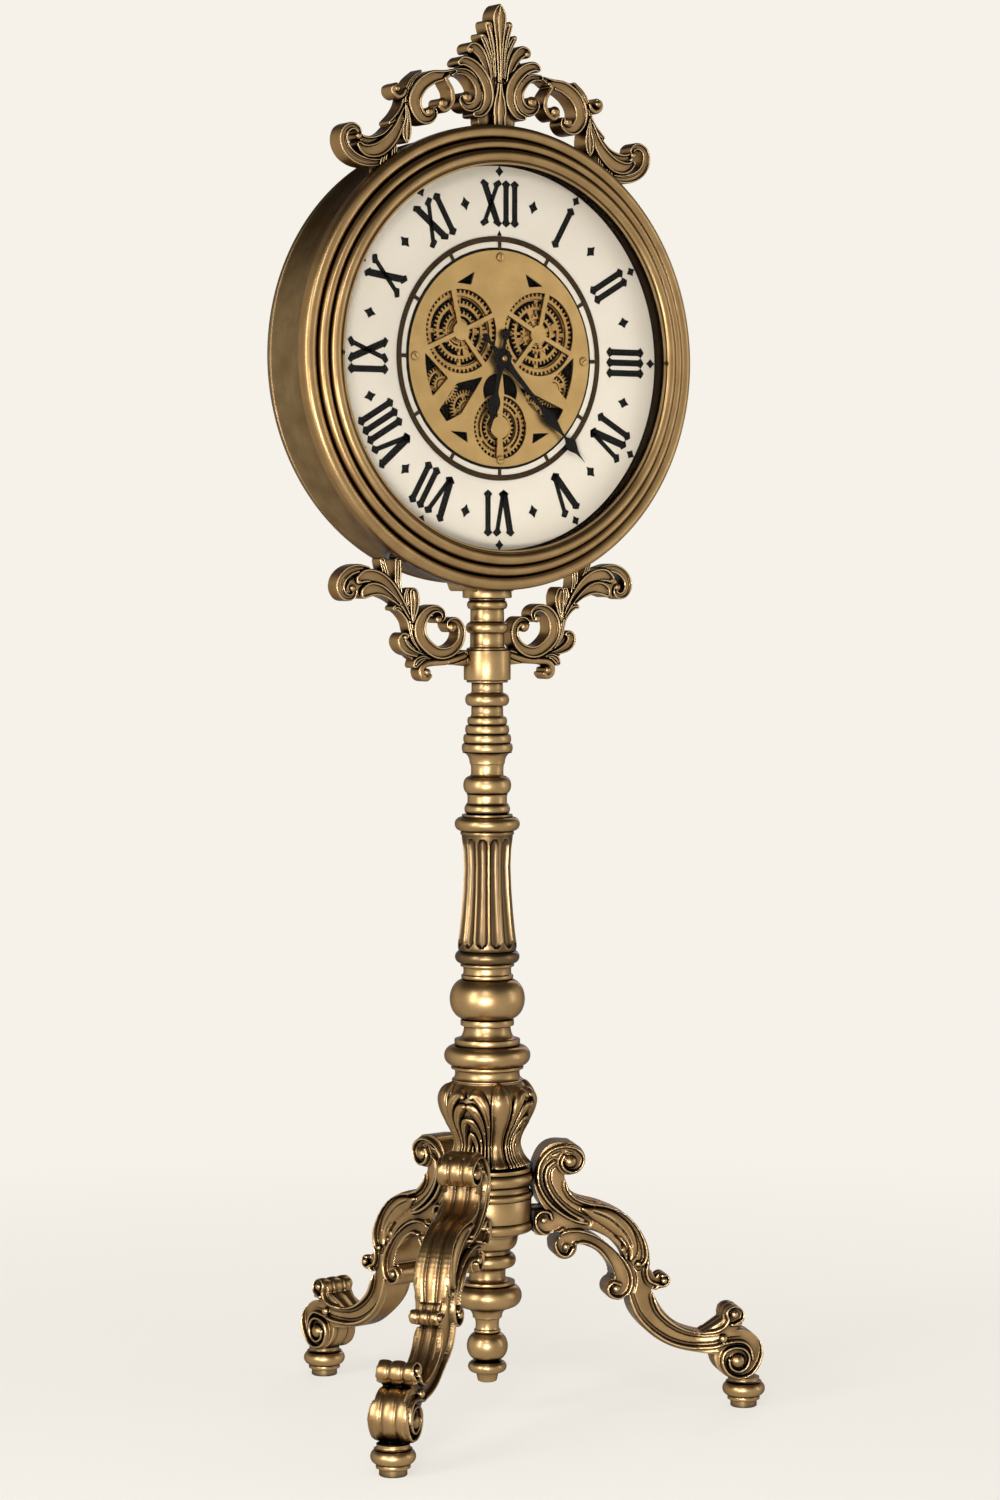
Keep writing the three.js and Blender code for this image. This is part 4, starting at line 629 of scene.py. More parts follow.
VASE_LOBE = rounded(4.0, 0.2)
VASE_STROKES = [
    ([(36, -2, 4), (36, 10, 4.6), (36, 20, 3.6), (36, 27, 1.4)], VASE_LOBE, -0.6),
    ([(29, -1, 2.4), (28, 12, 3), (29, 24, 4), (32.6, 34, 4.6), (36.6, 39, 3.6)], VASE_LOBE, -0.2),
    ([(23.2, -1, 2.4), (22, 14, 2.8), (22.6, 30, 3.8), (26, 43, 4.8), (31, 52, 5), (35, 55, 3.6)], VASE_LOBE, 0.0),
    ([(17.6, -1, 2.4), (17, 18, 2.6), (17.4, 36, 3.4), (20, 51, 4.6), (24.6, 62, 5.4), (29.6, 69, 5.2),
      (33.4, 71, 3.6)], VASE_LOBE, 0.4),
    ([(12.8, -1, 2), (12.6, 22, 2.2), (12.9, 44, 2.8), (14.6, 60, 4), (18, 73, 5.4), (22.8, 82, 5.8), (28, 85, 5),
      (31.6, 82, 3.4)], VASE_LOBE, 1.0),
    ([(0, -1, 10), (0, 20, 9.6), (0, 45, 9.8), (0, 68, 10.8), (0, 81, 9.8), (0, 89, 6.4), (0, 92, 3.4)], petal, 1.2),
]
VASE_VEINS = [
    [(13.4, 50), (15.8, 63), (20, 75), (25.4, 82)], [(18, 42), (21, 55), (26, 65)], [(23, 34), (27, 46), (32, 52)],
]
VASE_TURN = -105.5


def vase_carving(xs, zs):
    """How far the carving stands proud of the vase's wall."""
    proud = np.full((len(xs), len(zs)), -2.6, np.float32)
    for path, form, level in VASE_STROKES:
        cut, gap, side, width = near(path, xs, zs)
        moat = (gap > 0) & (gap < 1.0)
        proud[cut] = np.where(moat, np.minimum(proud[cut], level - 2.8), proud[cut])
        lift = level - 0.8 + form(side, np.maximum(width, 0.4))
        proud[cut] = np.where(gap <= 0, lift, proud[cut])
    for path in VASE_VEINS:
        cut, _, side, _ = near([(x, z, 1.0) for x, z in path], xs, zs)
        proud[cut] -= 0.9 * dome(side)
    for _ in range(2):
        wide = np.pad(proud, 1, mode="edge")
        proud = (wide[:-2, 1:-1] + wide[2:, 1:-1] + wide[1:-1, :-2] + wide[1:-1, 2:] + 2 * proud) / 6
    return proud


def acanthus_vase():
    """Four big petals, each between two leaves of curling lobes that lean away from it."""
    low, high = 276.9, 373.4
    outline = [(276.9, 42), (280, 43.4), (283, 42.2), (287, 38.6), (293, 35), (303, 32.4), (314, 35.4), (328, 43),
               (340, 48.2), (350.7, 50.4), (359, 48.8), (366, 44.6), (373.4, 38.6)]
    wall_at = np.array(smooth_path([(r, z, 0) for z, r in outline], 8))
    xs, zs = axes((-0.5, 0), (36.5, high - low), 0.45)
    zs = zs[zs <= high - low]
    carving = vase_carving(xs, zs)
    order = np.argsort(wall_at[:, 1])
    radius = np.interp(zs + low, wall_at[order, 1], wall_at[order, 0])
    fade = np.clip(np.minimum((zs - 0.5) / 3, (high - low - zs - 0.5) / 2.5), 0, 1)
    sides = 4 * 2 * 160
    angles = np.arange(sides) * 360 / sides
    fold = np.abs((angles + 45) % 90 - 45) * 0.8
    rows = np.array([np.interp(fold, xs, carving[:, j]) for j in range(len(zs))])
    reach = radius[:, None] + rows * fade[:, None]
    turn = np.radians(angles + VASE_TURN)
    points = np.stack([reach * np.cos(turn), reach * np.sin(turn), np.repeat((zs + low)[:, None], sides, 1)], axis=2)
    count = len(zs) * sides
    faces = tube_faces(len(zs) - 1, sides) + [tuple(range(count - sides, count)), tuple(reversed(range(sides)))]
    piece = make("acanthus_vase_cast", [(points.reshape(-1, 3).tolist(), faces)], CARVED, sharp=75)
    settle(piece, "antique_brass", "acanthus_vase")


acanthus_vase()


# ---------- Saddle ----------
def drum_saddle():
    """A cap on the column, and a block on it that ends at the drum's wall."""
    cap = turned([(BORE, 898.6)] + wall(26.9, 898.6, 909.5, 1.4) + [(BORE, 909.5)])
    points = []
    for i in range(25):
        x = -29 + 58 * i / 24
        low = 905 + 8 * (max(0, abs(x) - 24) / 5) ** 2
        top = min(DIAL.z / MM - math.sqrt(DRUM_CLEAR ** 2 - x * x), 940)
        points += [(x, -14.5, low + 1), (x, -15, (low + top) / 2), (x, -14.5, top), (x, 35.5, top),
                   (x, 36, (low + top) / 2), (x, 35.5, low + 1)]
    faces = tube_faces(24, 6) + [tuple(range(6)), tuple(reversed(range(144, 150)))]
    settle(make("drum_saddle_cast", [cap, (points, faces)], BRASS), "antique_brass", "drum_saddle")


drum_saddle()


# ---------- Legs ----------
LEG_SPAN = (middle("foot_front_right") - AXIS).xy.length / MM
LEG_FOOT = 279.0
LEG_PANEL, LEG_RIM = 17.6, 22.6
HUB_CLEAR = 51.8
LEG_BAND = [
    (88, 296, 7), (72, 291, 12), (66, 276, 15), (66, 258, 17), (74, 240, 17), (92, 226, 17), (118, 219, 16),
    (141, 206, 16), (157, 184, 14), (162, 160, 12), (162, 140, 12), (168, 118, 15), (184, 97, 14),
    (206, 82, 12.5), (238, 74, 11.5), (262, 77, 13),
]
LEG_SCROLLS = [
    [(82, 199, 6), (100, 197.5, 7.5), (117, 189.5, 7), (131, 177, 7), (140, 165, 8), (144, 152, 9), (145, 141, 9)],
    [(58, 216, 12), (76, 214, 9), (96, 210, 8)],
]
LEG_ROLLS = [
    [(170, 152, 8), (178, 142, 6), (188, 144, 6)],
    [(236, 80, 8), (252, 90, 8), (264, 98, 9)],
]
LEG_DISCS = [(86, 284.5, 17.6), (271, 61, 28), (264, 104, 11.8), (188, 146, 8)]
LEG_PLAIN_DISCS = [(82, 187, 13), (137, 139, 12), (57, 215, 14)]
LEG_EYES = [
    (87, 282, 7.2), (188.9, 146.1, 3.4), (268.1, 54.2, 8.4), (264.2, 106.6, 4.2), (252.2, 80.1, 4.6),
    (58.7, 218.4, 3.6), (82.5, 188.4, 4.4), (136.8, 139.6, 4.2), (160, 166.4, 2.6),
]
# Rims along the side faces, from the top volute to the foot
LEG_RIMS = [
    [(105.1, 213.1), (90.4, 217.6), (75, 227.2), (62.1, 240), (54.2, 255.1), (52.4, 268.6), (55.2, 281.6),
     (63.8, 293), (76.4, 298.6), (90.4, 297.6), (99.6, 291), (102.6, 282.4), (98.4, 273.6), (89.4, 270.2),
     (81, 273.6), (77.6, 281), (80.6, 288)],
    [(100.6, 217.2), (84.8, 227.2), (71.2, 240.6), (63.3, 254), (60.6, 266.3), (63.3, 276.4), (70.1, 282.4)],
    [(92.7, 263.6), (87, 262.3), (84.1, 258.5), (85.4, 250.7), (92.7, 241.3), (108.5, 234.6), (126.6, 231.7),
     (144.7, 223.9), (158.3, 210.4), (166.2, 194.8), (169.6, 179.2), (167.8, 168), (161.7, 164)],
    [(95.9, 252.6), (114.8, 241.4), (136, 237.4), (157.2, 227), (171.6, 210.3), (176.3, 190.3), (173.6, 172.5),
     (170.1, 157.9), (173, 146.8), (180.9, 142.3), (188.9, 139.4), (195, 144.5), (193.4, 151.9), (186.6, 151.2)],
    [(183.2, 140.7), (179.1, 134.5), (179.6, 123.3), (185.9, 109.9), (200.2, 96.9), (218.3, 88.6), (238.7, 87.1),
     (252.2, 92), (257.9, 99.8)],
    [(150.8, 131.8), (158.6, 111), (174, 92), (194.9, 77.3), (218.3, 70.2), (240.9, 70.6), (257.9, 75.2),
     (272.6, 75.6), (282.3, 68.2), (285.5, 56.2)],
    [(261.3, 95), (278.3, 93.7), (291, 84.3), (297.4, 69.6), (294.4, 52.8), (284, 39.4), (270.3, 35.4),
     (257.6, 40.6), (251.4, 52.9), (254, 64.1), (263.5, 69.1), (274.7, 67.4), (281.1, 58.5), (278.4, 47.6),
     (269.2, 42.6), (260.4, 47), (258.6, 56)],
    [(264.7, 95.3), (273.7, 100.9), (275, 108.8), (270.3, 114.6), (261.3, 115.4), (255.8, 109.6), (257.4, 102.1)],
    [(79.1, 207.8), (70.1, 203.4), (58.7, 203.4), (51.4, 210.4), (50.2, 220.5), (55.8, 227.3), (64.4, 226.2),
     (67.3, 219.6)],
    [(90.3, 186), (84.1, 177.9), (75.4, 180.6), (71, 190.5), (74.7, 200.8), (87, 205.6), (102.9, 203.9),
     (121, 195.6), (138.4, 180.6), (150, 162.4), (153.6, 146.8), (149.6, 134), (140.2, 128.8), (130.6, 132.2),
     (128, 140), (133.6, 146.6), (141.3, 144)],
    [(92.7, 190.9), (104.5, 191.3), (119.8, 181.7), (130.2, 165.5), (134.6, 151)],
]
LEG_LOBE = [
    (100.6, 229.4, 2.7), (115.3, 223, 8.1), (128.4, 217, 10.3), (144.3, 203.3, 9.9), (152.2, 189.4, 7.7),
    (154.6, 179.2, 5.4), (152.4, 172, 2.6),
]
LEG_VEINS = [
    [(112, 226), (130, 217), (146, 201), (152.6, 187)], [(141, 197), (148.6, 187.6), (149, 178.6)],
    [(136, 198), (143, 190), (143.6, 183.4)],
]


def eased(values, low, high):
    t = np.clip((values - low) / (high - low), 0, 1)
    return t * t * (3 - 2 * t)


def leg_field(step):
    """Grid of one leg, whose outer side is ribbed and whose side faces carry rims, a leaf and spiral eyes."""
    xs, ys, zs = axes((42, -27, 30), (304, 27, 306), step)
    shape = (len(xs), len(zs))
    far = np.full(shape, 60.0, np.float32)
    ribbed, plain, outer, inner = far.copy(), far.copy(), far.copy(), far.copy()
    gx, gz = np.meshgrid(xs, zs, indexing="ij")

    cut, gap, side, width = near(LEG_BAND, xs, zs, 8)
    outer[cut] = np.where(side > 0, gap, -width)
    inner[cut] = gap
    across = side / width
    panel = np.full(shape, LEG_PANEL - 1.2, np.float32)
    panel[cut] += 2.0 * np.clip(1 - across ** 2, 0, 1)
    for path in LEG_SCROLLS + LEG_ROLLS:
        cut, gap, side, width = near(path, xs, zs)
        target = plain if path in LEG_SCROLLS else ribbed
        target[cut] = np.minimum(target[cut], gap)
        if path in LEG_SCROLLS:
            hollow = LEG_PANEL - 2.6 + 2.2 * np.clip(side / width, -1, 1) ** 2
            panel[cut] = np.where(gap < 0, np.minimum(panel[cut], hollow), panel[cut])
    for discs, target in ((LEG_DISCS, ribbed), (LEG_PLAIN_DISCS, plain)):
        for x, z, radius in discs:
            target[:] = np.minimum(target, np.hypot(gx - x, gz - z) - radius)

    slim = 5.5 * eased(gx, 152, 180) * (1 - eased(gx, 222, 250)) * (1 - eased(gz, 150, 190))
    slim += 1.8 * eased(gx, 92, 120) * (1 - eased(gx, 152, 180))
    tall = panel.copy()
    for path in LEG_RIMS:
        cut, _, side, _ = near([(x, z, 3.6) for x, z in path], xs, zs)
        groove = LEG_PANEL - 2.6 + 2.6 * np.clip((np.abs(side) - 3.2) / 2.6, 0, 1) ** 2
        tall[cut] = np.where(np.abs(side) < 5.8, np.minimum(tall[cut], groove), tall[cut])
    for path in LEG_RIMS:
        cut, _, side, _ = near([(x, z, 2.0) for x, z in path], xs, zs)
        tall[cut] = np.maximum(tall[cut], LEG_PANEL - 1 + (LEG_RIM - LEG_PANEL + 1) * dome(side / 2.2))
    cut, gap, side, width = near(LEG_LOBE, xs, zs)
    lobe = LEG_PANEL - 1.5 + 6.6 * dome(side / width)
    tall[cut] = np.where(gap < 0, np.maximum(lobe, tall[cut] - 2), tall[cut])
    for path in LEG_VEINS:
        cut, _, side, _ = near([(x, z, 1.0) for x, z in path], xs, zs)
        tall[cut] -= 2.4 * np.clip(1 - np.abs(side) / 1.5, 0, 1)
    base = LEG_RIM - slim
    tall = np.minimum(tall, 24.5) - slim

    y = ys[None, :, None]
    place = np.clip(np.abs(y) / base[:, None, :], 0, 1)
    rib = 1.1 * (1 - np.abs(np.sin(1.5 * np.pi * (place + 1)))) + 1.5 * np.exp(-((place - 0.335) / 0.075) ** 2)
    rib += 1.6 * eased(place, 0.86, 1.0)
    field = np.maximum(outer[:, None, :] + rib, inner[:, None, :])
    field = np.minimum(field, ribbed[:, None, :] + 0.8 * rib)
    field = np.minimum(field, plain[:, None, :])
    field = np.maximum(field, np.abs(y) - tall[:, None, :])
    for x, z, radius in LEG_EYES:
        sink = (LEG_RIM + 1.2 - radius * 0.86) - (slim[np.abs(xs - x).argmin(), np.abs(zs - z).argmin()])
        body = np.sqrt((xs[:, None, None] - x) ** 2 + (zs[None, None, :] - z) ** 2 + (np.abs(y) - sink) ** 2) - radius
        field = np.minimum(field, body)
    return field, (xs, ys, zs)


def clear_of_hub(points):
    """Legs stop at the hub's wall and above the feet's studs."""
    kept = []
    for x, y, z in points:
        x = 50 + (x - 50) * (LEG_SPAN - 50) / (LEG_FOOT - 50)
        x = x if x < 285 else 285 + (x - 285) * 0.88
        if math.hypot(x, y) < HUB_CLEAR and z > 150:
            x = math.sqrt(max(HUB_CLEAR ** 2 - y * y, 1))
        kept.append((x, y, max(z, 33.4)))
    return kept


def legs():
    model = skinned("leg_model", *leg_field(0.9), AXIS)
    vertices = model.data.vertices
    for vertex, spot in zip(vertices, clear_of_hub([(v.co - AXIS) / MM for v in vertices])):
        vertex.co = AXIS + Vector(spot) * MM
    for place in ("front_right", "front_left", "rear"):
        towards = middle("foot_" + place) - AXIS
        turn = Matrix.Rotation(math.atan2(towards.y, towards.x), 4, "Z")
        settle(copied(model, "leg_" + place + "_cast", turn), "antique_brass", "leg_" + place)
    bpy.data.objects.remove(model)


legs()


# ---------- Crown and brackets ----------
CROWN_FRONT, CROWN_BACK = -24.0, -3.0
BRACKET_FRONT, BRACKET_BACK = 0.4, 16
BEZEL_RADIUS = 250.0
COLLAR_HEIGHT, COLLAR_CLEAR = 825.5, 25.8
BEZEL_CLEAR, WALL_CLEAR = 250.4, 241.4
CARVING_STEP = 0.6

RIM = rimmed(1.6, 3.0, 3.8, 3.4, 0.28, 0.2)
ROLL = rimmed(1.3, 2.6, 2.0, 2.6)
LEAFY = rimmed(1.2, 2.2, 2.2, 4.4)
FINGER = rimmed(0.9, 1.4, 1.4, 4.0)
BAR = rounded(2.8)
SPEAR = rimmed(1.2, 2.0, 2.4, 5.6)

# Right half of the crown, as (path of x, z and half width), form and level; z counts from the bezel's top
CROWN_STROKES = [
    ([(5.4, 52.5, 1.6), (6.2, 73.8, 2.8), (8.9, 91.5, 4.2), (12.9, 105.7, 4.4), (14, 108.6, 3.2)], FINGER, 1),
    ([(7.5, 51.4, 1.4), (9.6, 70.2, 2.8), (15.3, 85, 3.6), (20.3, 93.6, 3.2), (21.1, 95, 2.2)], FINGER, 0.4),
    ([(11, 21.8, 2.4), (12, 43.1, 3), (15.3, 59.6, 4.6), (22, 73.2, 6.2), (29.6, 80.3, 6.6), (35.8, 80.6, 5.4),
     (37.5, 77.9, 3.6)], RIM, 0),
    ([(31.3, 10, 3.2), (22.8, 12.6, 5), (16.3, 21.3, 6.2), (14, 31.9, 6.6), (17.1, 44.3, 6.8), (25.2, 55.5, 6.6),
     (35.1, 62.9, 6.2), (45, 65.8, 5.6), (50.3, 63.8, 3.8)], RIM, 1.4),
    ([(65.6, 49.2, 2.4), (62.7, 52.5, 3), (52.8, 54.3, 3.6), (42.2, 53.5, 4.4), (31.9, 46.6, 5.6), (25.9, 36.6, 6.2),
     (27.1, 25.4, 6.4), (34.1, 18.3, 6), (42.9, 17.7, 5), (48.6, 23, 3.6), (48.6, 27.7, 2.4)], RIM, 1),
    ([(65, 49, 2.2), (68.4, 45.5, 2.4), (65.6, 40.7, 2.8), (61, 33.6, 2.8), (59.6, 24.2, 3), (63.9, 15.9, 3),
     (71, 11.8, 2.8), (77.2, 15.3, 2)], BAR, 1.6),
    ([(57.1, 54, 2.4), (71.2, 48.8, 5.6), (85.4, 45.5, 7.4), (98.9, 36.6, 8), (106.7, 24.2, 8.2), (106.4, 12.4, 8),
     (98.9, 2.7, 7), (89, 1.2, 5), (82.6, 6.5, 3.4), (83.4, 11.8, 2.4)], RIM, 1.2),
    ([(99.6, 51.4, 1.6), (110.9, 40.7, 2.8), (117.3, 27.7, 3.6), (120.1, 14.8, 4), (125.8, 4.1, 4.6), (134.3, -3.9, 4),
     (137, -5.3, 3)], LEAFY, 0),
    ([(118.7, 30.1, 1.8), (122, 25.1, 2.6), (127.9, 23, 2.8), (133.6, 26.6, 2.8), (134.4, 32.2, 2.4),
     (129.6, 35.3, 2.2)], BAR, 0.4),
    ([(118, 14.8, 2), (124.4, 0.6, 4), (130, -12.4, 6.2), (139.2, -24.2, 7.6), (151.3, -33.4, 8.2), (163, -36.4, 7.4),
     (171.6, -34.6, 5.6), (176.6, -30.6, 3.4)], RIM, 1),
    ([(135, -8.9, 2.6), (144.9, -19.5, 4), (158.4, -25.4, 5), (169.7, -25.4, 5), (175.4, -21.8, 3.6)], RIM, 0),
    ([(146.3, -46.5, 3), (160, -48.6, 4.6), (176, -46.6, 5.4), (188.8, -39.4, 5.6), (195.4, -28, 5.4),
     (193.6, -16.6, 4.8), (184.6, -11.4, 4), (177, -15, 3.2), (176.2, -21.4, 2.4)], ROLL, 0.4),
    ([(119.1, 14.8, 1), (117.3, 1.8, 3.4), (118, -10, 6), (118.3, -18.3, 5.2), (118.3, -24.2, 2)], LEAFY, 2),
    ([(127.9, -17.1, 1), (132.4, -26.6, 3), (133, -37.2, 4), (132.2, -49, 4)], LEAFY, 0.6),
    ([(139.9, -30.1, 1), (144.9, -40.7, 3.4), (147.7, -52.5, 4.4), (147.7, -65.5, 4)], LEAFY, 0.4),
    ([(0, -14, 8), (0, 8, 7.4), (0, 14, 8.4), (0, 24, 7.2), (0, 36, 4.2), (0, 47, 2.4)], SPEAR, 2.4),
    ([(0, 48, 2.4), (0, 66, 3.4), (0, 90, 5.4), (0, 106, 7.8), (0, 116, 8.6), (0, 123, 5.6), (0, 129, 1)], SPEAR, 2.4),
    ([(4, 2, 5), (6, 30, 5), (5, 60, 5), (8, 88, 5)], BAR, -4),
    ([(16, 4, 8), (16, 40, 7), (26, 66, 6)], BAR, -4),
]
CROWN_BALLS = [
    (36.5, 78.6, 3.4), (42.2, 27.5, 6.2), (72.4, 19.2, 6), (89.7, 8.9, 5.2), (129.6, 31.1, 3.6),
    (177.2, -21.6, 3.8), (14, 108.3, 2.8), (21.1, 94.6, 2.2),
]
# Right bracket; z counts from the collar's middle
BRACKET_STROKES = [
    ([(19.1, 7.7, 9), (39.3, 8.7, 8), (59.6, 7.7, 6)], BAR, -1),
    ([(51.7, 42.7, 2.2), (51.2, 46.4, 3), (46.7, 48.7, 4), (40.3, 47.4, 4.8), (35.3, 40.6, 5), (34.6, 33, 5.2),
     (37.5, 25.2, 5.6), (45.3, 17.6, 6.2), (56, 14, 6.8), (66.7, 15, 7), (77.4, 21.3, 7.4), (85.5, 30.1, 7.8),
     (87.9, 39.8, 7.8), (85.5, 49.5, 7.2), (78.6, 58.1, 6), (69.3, 62, 4.6), (61.4, 60.2, 3.6), (57.9, 54.9, 3),
     (59.6, 50, 2.2)], RIM, 1.2),
    ([(88.1, 18.4, 1.4), (95.9, 29.1, 2.6), (98.6, 38.8, 3.2), (101, 49.5, 3.8), (107.2, 58.5, 4.4),
     (114.3, 63.5, 4.2), (118.9, 62.9, 2.8)], LEAFY, 0.4),
    ([(97.1, 47.6, 1), (95.3, 59.2, 4.6), (94.1, 70.9, 6.2), (95.3, 78.7, 5.6), (96.5, 81.4, 3.4)], LEAFY, 1.2),
    ([(99.5, 56.3, 1), (103.1, 65.1, 2.8), (104.6, 73.8, 3.8), (103, 81.6, 3)], LEAFY, 0.2),
    ([(111.4, 69, 1), (113.1, 80.6, 3.2), (115.3, 91.3, 4), (115, 102, 4.4), (115, 113.7, 4)], LEAFY, 0.4),
    ([(123.9, 85.5, 1), (129.2, 97.2, 3.4), (132.2, 105, 3.6), (134.6, 113.7, 3.4)], LEAFY, 0.2),
    ([(100.6, 52.4, 2), (108.4, 65.1, 3.4), (116.7, 75.8, 5.6), (128, 87.5, 7.4), (141.7, 95.7, 8), (154.8, 97.7, 7.4),
     (163.1, 94.1, 5.2)], RIM, 0.8),
    ([(114.3, 67, 2), (125, 75.8, 4.2), (137, 82.1, 6.4), (147.7, 83.4, 7.6), (155.4, 80.6, 6.8),
     (157.8, 77.7, 4.6)], RIM, 1.2),
    ([(150, 104, 3), (164.3, 105.6, 4.8), (176.6, 102.1, 5.4), (185.2, 94.3, 5.6), (187.4, 84.4, 5.4),
     (182.6, 76.4, 4.6), (174.4, 74.8, 3.6), (169.8, 79.6, 2.8), (171.4, 84.6, 2.2)], ROLL, 0.4),
    ([(166.7, 87.5, 9), (170.3, 81.6, 9)], BAR, -2),
    ([(82.2, 11.6, 1.4), (94.1, 14, 3.6), (105, 19.2, 5.8), (110.3, 26.2, 6.2), (109, 32, 4.8),
     (104.8, 32.8, 3)], RIM, 0.6),
    ([(75, 7.7, 1), (83.4, 8.7, 3.2), (89.9, 5.5, 4.6), (92.9, 1.7, 3.6)], LEAFY, 0.6),
    ([(29.8, 10.6, 3), (41.7, 7.2, 3.4), (54.8, 4.6, 3.6), (69.1, 3.8, 3.6), (79.6, 2.2, 3.6), (85.2, -3, 3.6),
     (84.3, -10.3, 3.6), (78.6, -13.5, 3), (74.1, -10.3, 2.4)], BAR, 0.6),
    ([(85.8, 16.4, 3), (90.5, 12.5, 6), (97.7, 17.4, 6), (103.6, 24.2, 6)], BAR, -2),
]
BRACKET_BALLS = [
    (47.1, 41.7, 6), (64.3, 50.3, 4.4), (172.4, 84.4, 3.8), (78.6, -6.4, 4.2), (106, 31.5, 2.8), (164.9, 91.3, 3),
]


def clear_of_drum(piece, bezel_back=None):
    """Castings end at the drum's wall, and at the bezel's rim in front of it."""
    for vertex in piece.data.vertices:
        spot = (vertex.co - DIAL) / MM
        limit = BEZEL_CLEAR if bezel_back is not None and spot.y < bezel_back else WALL_CLEAR
        away = math.hypot(spot.x, spot.z)
        if away < limit:
            vertex.co = DIAL + Vector((spot.x / away * limit, spot.y, spot.z / away * limit)) * MM


def crown():
    origin = DIAL + Vector((0, 0, BEZEL_RADIUS * MM))
    piece = cast_relief("crown_cast", CROWN_STROKES, CROWN_BALLS, CROWN_FRONT + 2.4, CROWN_BACK, (0, -72), (205, 134),
                        origin, CARVING_STEP, both=True)
    clear_of_drum(piece, CROWN_FRONT + 4.5)
    settle(piece, "antique_brass", "crown")


crown()


def brackets():
    """The right bracket and its mirror image, both ending at the collar and at the drum."""
    origin = AXIS + Vector((0, 0, COLLAR_HEIGHT * MM))
    right = cast_relief("bracket_right_cast", BRACKET_STROKES, BRACKET_BALLS, BRACKET_FRONT, BRACKET_BACK, (20, -24),
                        (202, 122), origin, CARVING_STEP)
    for vertex in right.data.vertices:
        x, y, z = (vertex.co - origin) / MM
        if math.hypot(x, y) < COLLAR_CLEAR and abs(z) < 30:
            vertex.co = origin + Vector((math.sqrt(COLLAR_CLEAR ** 2 - y ** 2), y, z)) * MM
    clear_of_drum(right)
    settle(right, "antique_brass", "bracket_right")
    left = copied(right, "bracket_left_cast", Matrix.Diagonal((-1, 1, 1, 1)))
    left.data.flip_normals()
    settle(left, "antique_brass", "bracket_left")


brackets()


# ---------- Drum, bezel, glass and dial ----------
def dial_turned(name, profile, look, slot, *nodes, sides=180, closed=True, shift=(0, 0), body="stand"):
    """A piece turned about the dial's axis."""
    settle(make(name, [turned(profile, sides, False, closed, shift)], look, DIAL), slot, *nodes, body=body)


def bezel_bead(outer, inner, outer_foot, inner_foot, crest):
    """A round bead of the bezel, from its outer foot over the crest to its inner foot."""
    points, steps = [], 16
    for i in range(steps + 1):
        a = math.pi * i / steps
        foot = outer_foot + (inner_foot - outer_foot) * i / steps
        points.append(((outer + inner) / 2 + (outer - inner) / 2 * math.cos(a), foot + (crest - foot) * math.sin(a)))
    return points


dial_turned("bezel_turned", [(250, -20), (250, -27)] + bezel_bead(250, 235.6, -29, -32.8, -36.6) + [(235, -32.4)]
            + bezel_bead(234.4, 223.6, -34.6, -38, -41.2) + [(223, -37.6)]
            + bezel_bead(222.4, 210.5, -40.2, -42, -46)
            + [(209.8, -41.9), (208.8, -42.9), (207.6, -43), (206.6, -42.4), (206.5, -41.3), (210.3, -41.3),
               (210.3, -20)], BEZEL_BRASS, "antique_brass", "bezel", sides=240)
dial_turned("case_drum_turned", [
    (241, -19.7), (241, 50.6), (241.4, 51.4), (242.4, 52), (242.9, 54), (242.6, 56.6), (241.6, 57.8), (240.4, 58),
    (237, 58), (237, 49.7), (212, 49.7), (212, 46.7), (237, 46.7), (237, -16.7), (196, -16.7), (196, -19.7),
], DRUM_BRASS, "antique_brass", "case_drum", sides=200)
dial_turned("glass_pane", [(0, -41), (209.4, -41), (210, -40.4), (210, -38.6), (209.4, -38), (0, -38)], GLASS,
            "clear_glass", "glass", closed=False)
dial_turned("rehaut_wall", [(210, -37.7), (210, -24), (206.4, -24), (206.4, -25), (206.8, -37.4), (207.4, -37.7)],
            BRONZE, "dark_bronze", "rehaut_ring")
dial_turned("dial_sheet", [(210, -23.7), (210, -20), (113.5, -20), (113.5, -23.5), (113.8, -23.7)], CREAM,
            "cream_dial", "dial")


def star(z, tall, wide, pinch):
    """Four-pointed mark with hollow sides, upright on the middle line."""
    points = []
    for k in range(4):
        a, b = math.pi / 2 * k, math.pi / 2 * k + math.pi / 4
        tip = tall if k % 2 == 0 else wide
        points.append((tip * math.sin(a), z + tip * math.cos(a)))
        points.append((wide * pinch * 1.35 * math.sin(b), z + tall * pinch * 1.35 * math.cos(b)))
    return points


STEM = 3.5
INNER, OUTER = 141.0, 192.0
PRINT_FRONT = -23.95


def stem(u0, u1, thin):
    """Stroke from the inner end at u0 to the outer end at u1, with pointed heads."""
    half = STEM * thin
    low, high = INNER + 4.6, OUTER - 4.6
    lean = (u1 - u0) / (high - low)
    left = [(-half, 3.6), (-3.9, 2.4), (-5.8, 0), (-3.5, -2.1), (0, -4.6), (3.5, -2.1), (5.8, 0), (3.9, 2.4),
            (half, 3.6)]
    bottom = [(u0 + a + lean * b, low + b) for a, b in left]
    top = [(u1 - a - lean * b, high - b) for a, b in left]
    return bottom + top


# How far each letter of a numeral stands from its middle line
NUMERALS = {
    "XII": (-10.8, 8.6, 19.8), "I": (0,), "II": (-5.7, 5.7), "III": (-11.4, 0, 11.4), "IV": (-15, 5), "V": (0,),
    "VI": (-5.5, 14.8), "VII": (-11, 9, 20.4), "VIII": (-16.6, 3.4, 14.8, 26.2), "IX": (-15.4, 4.6), "X": (0,),
    "XI": (-5, 15.2),
}
LETTERS = {"I": [(0, 0, 1.0)], "V": [(-0.8, -8.6, 1.2), (0.8, 8.6, 0.8)], "X": [(8.4, -8.4, 1.2), (-8.4, 8.4, 0.8)]}


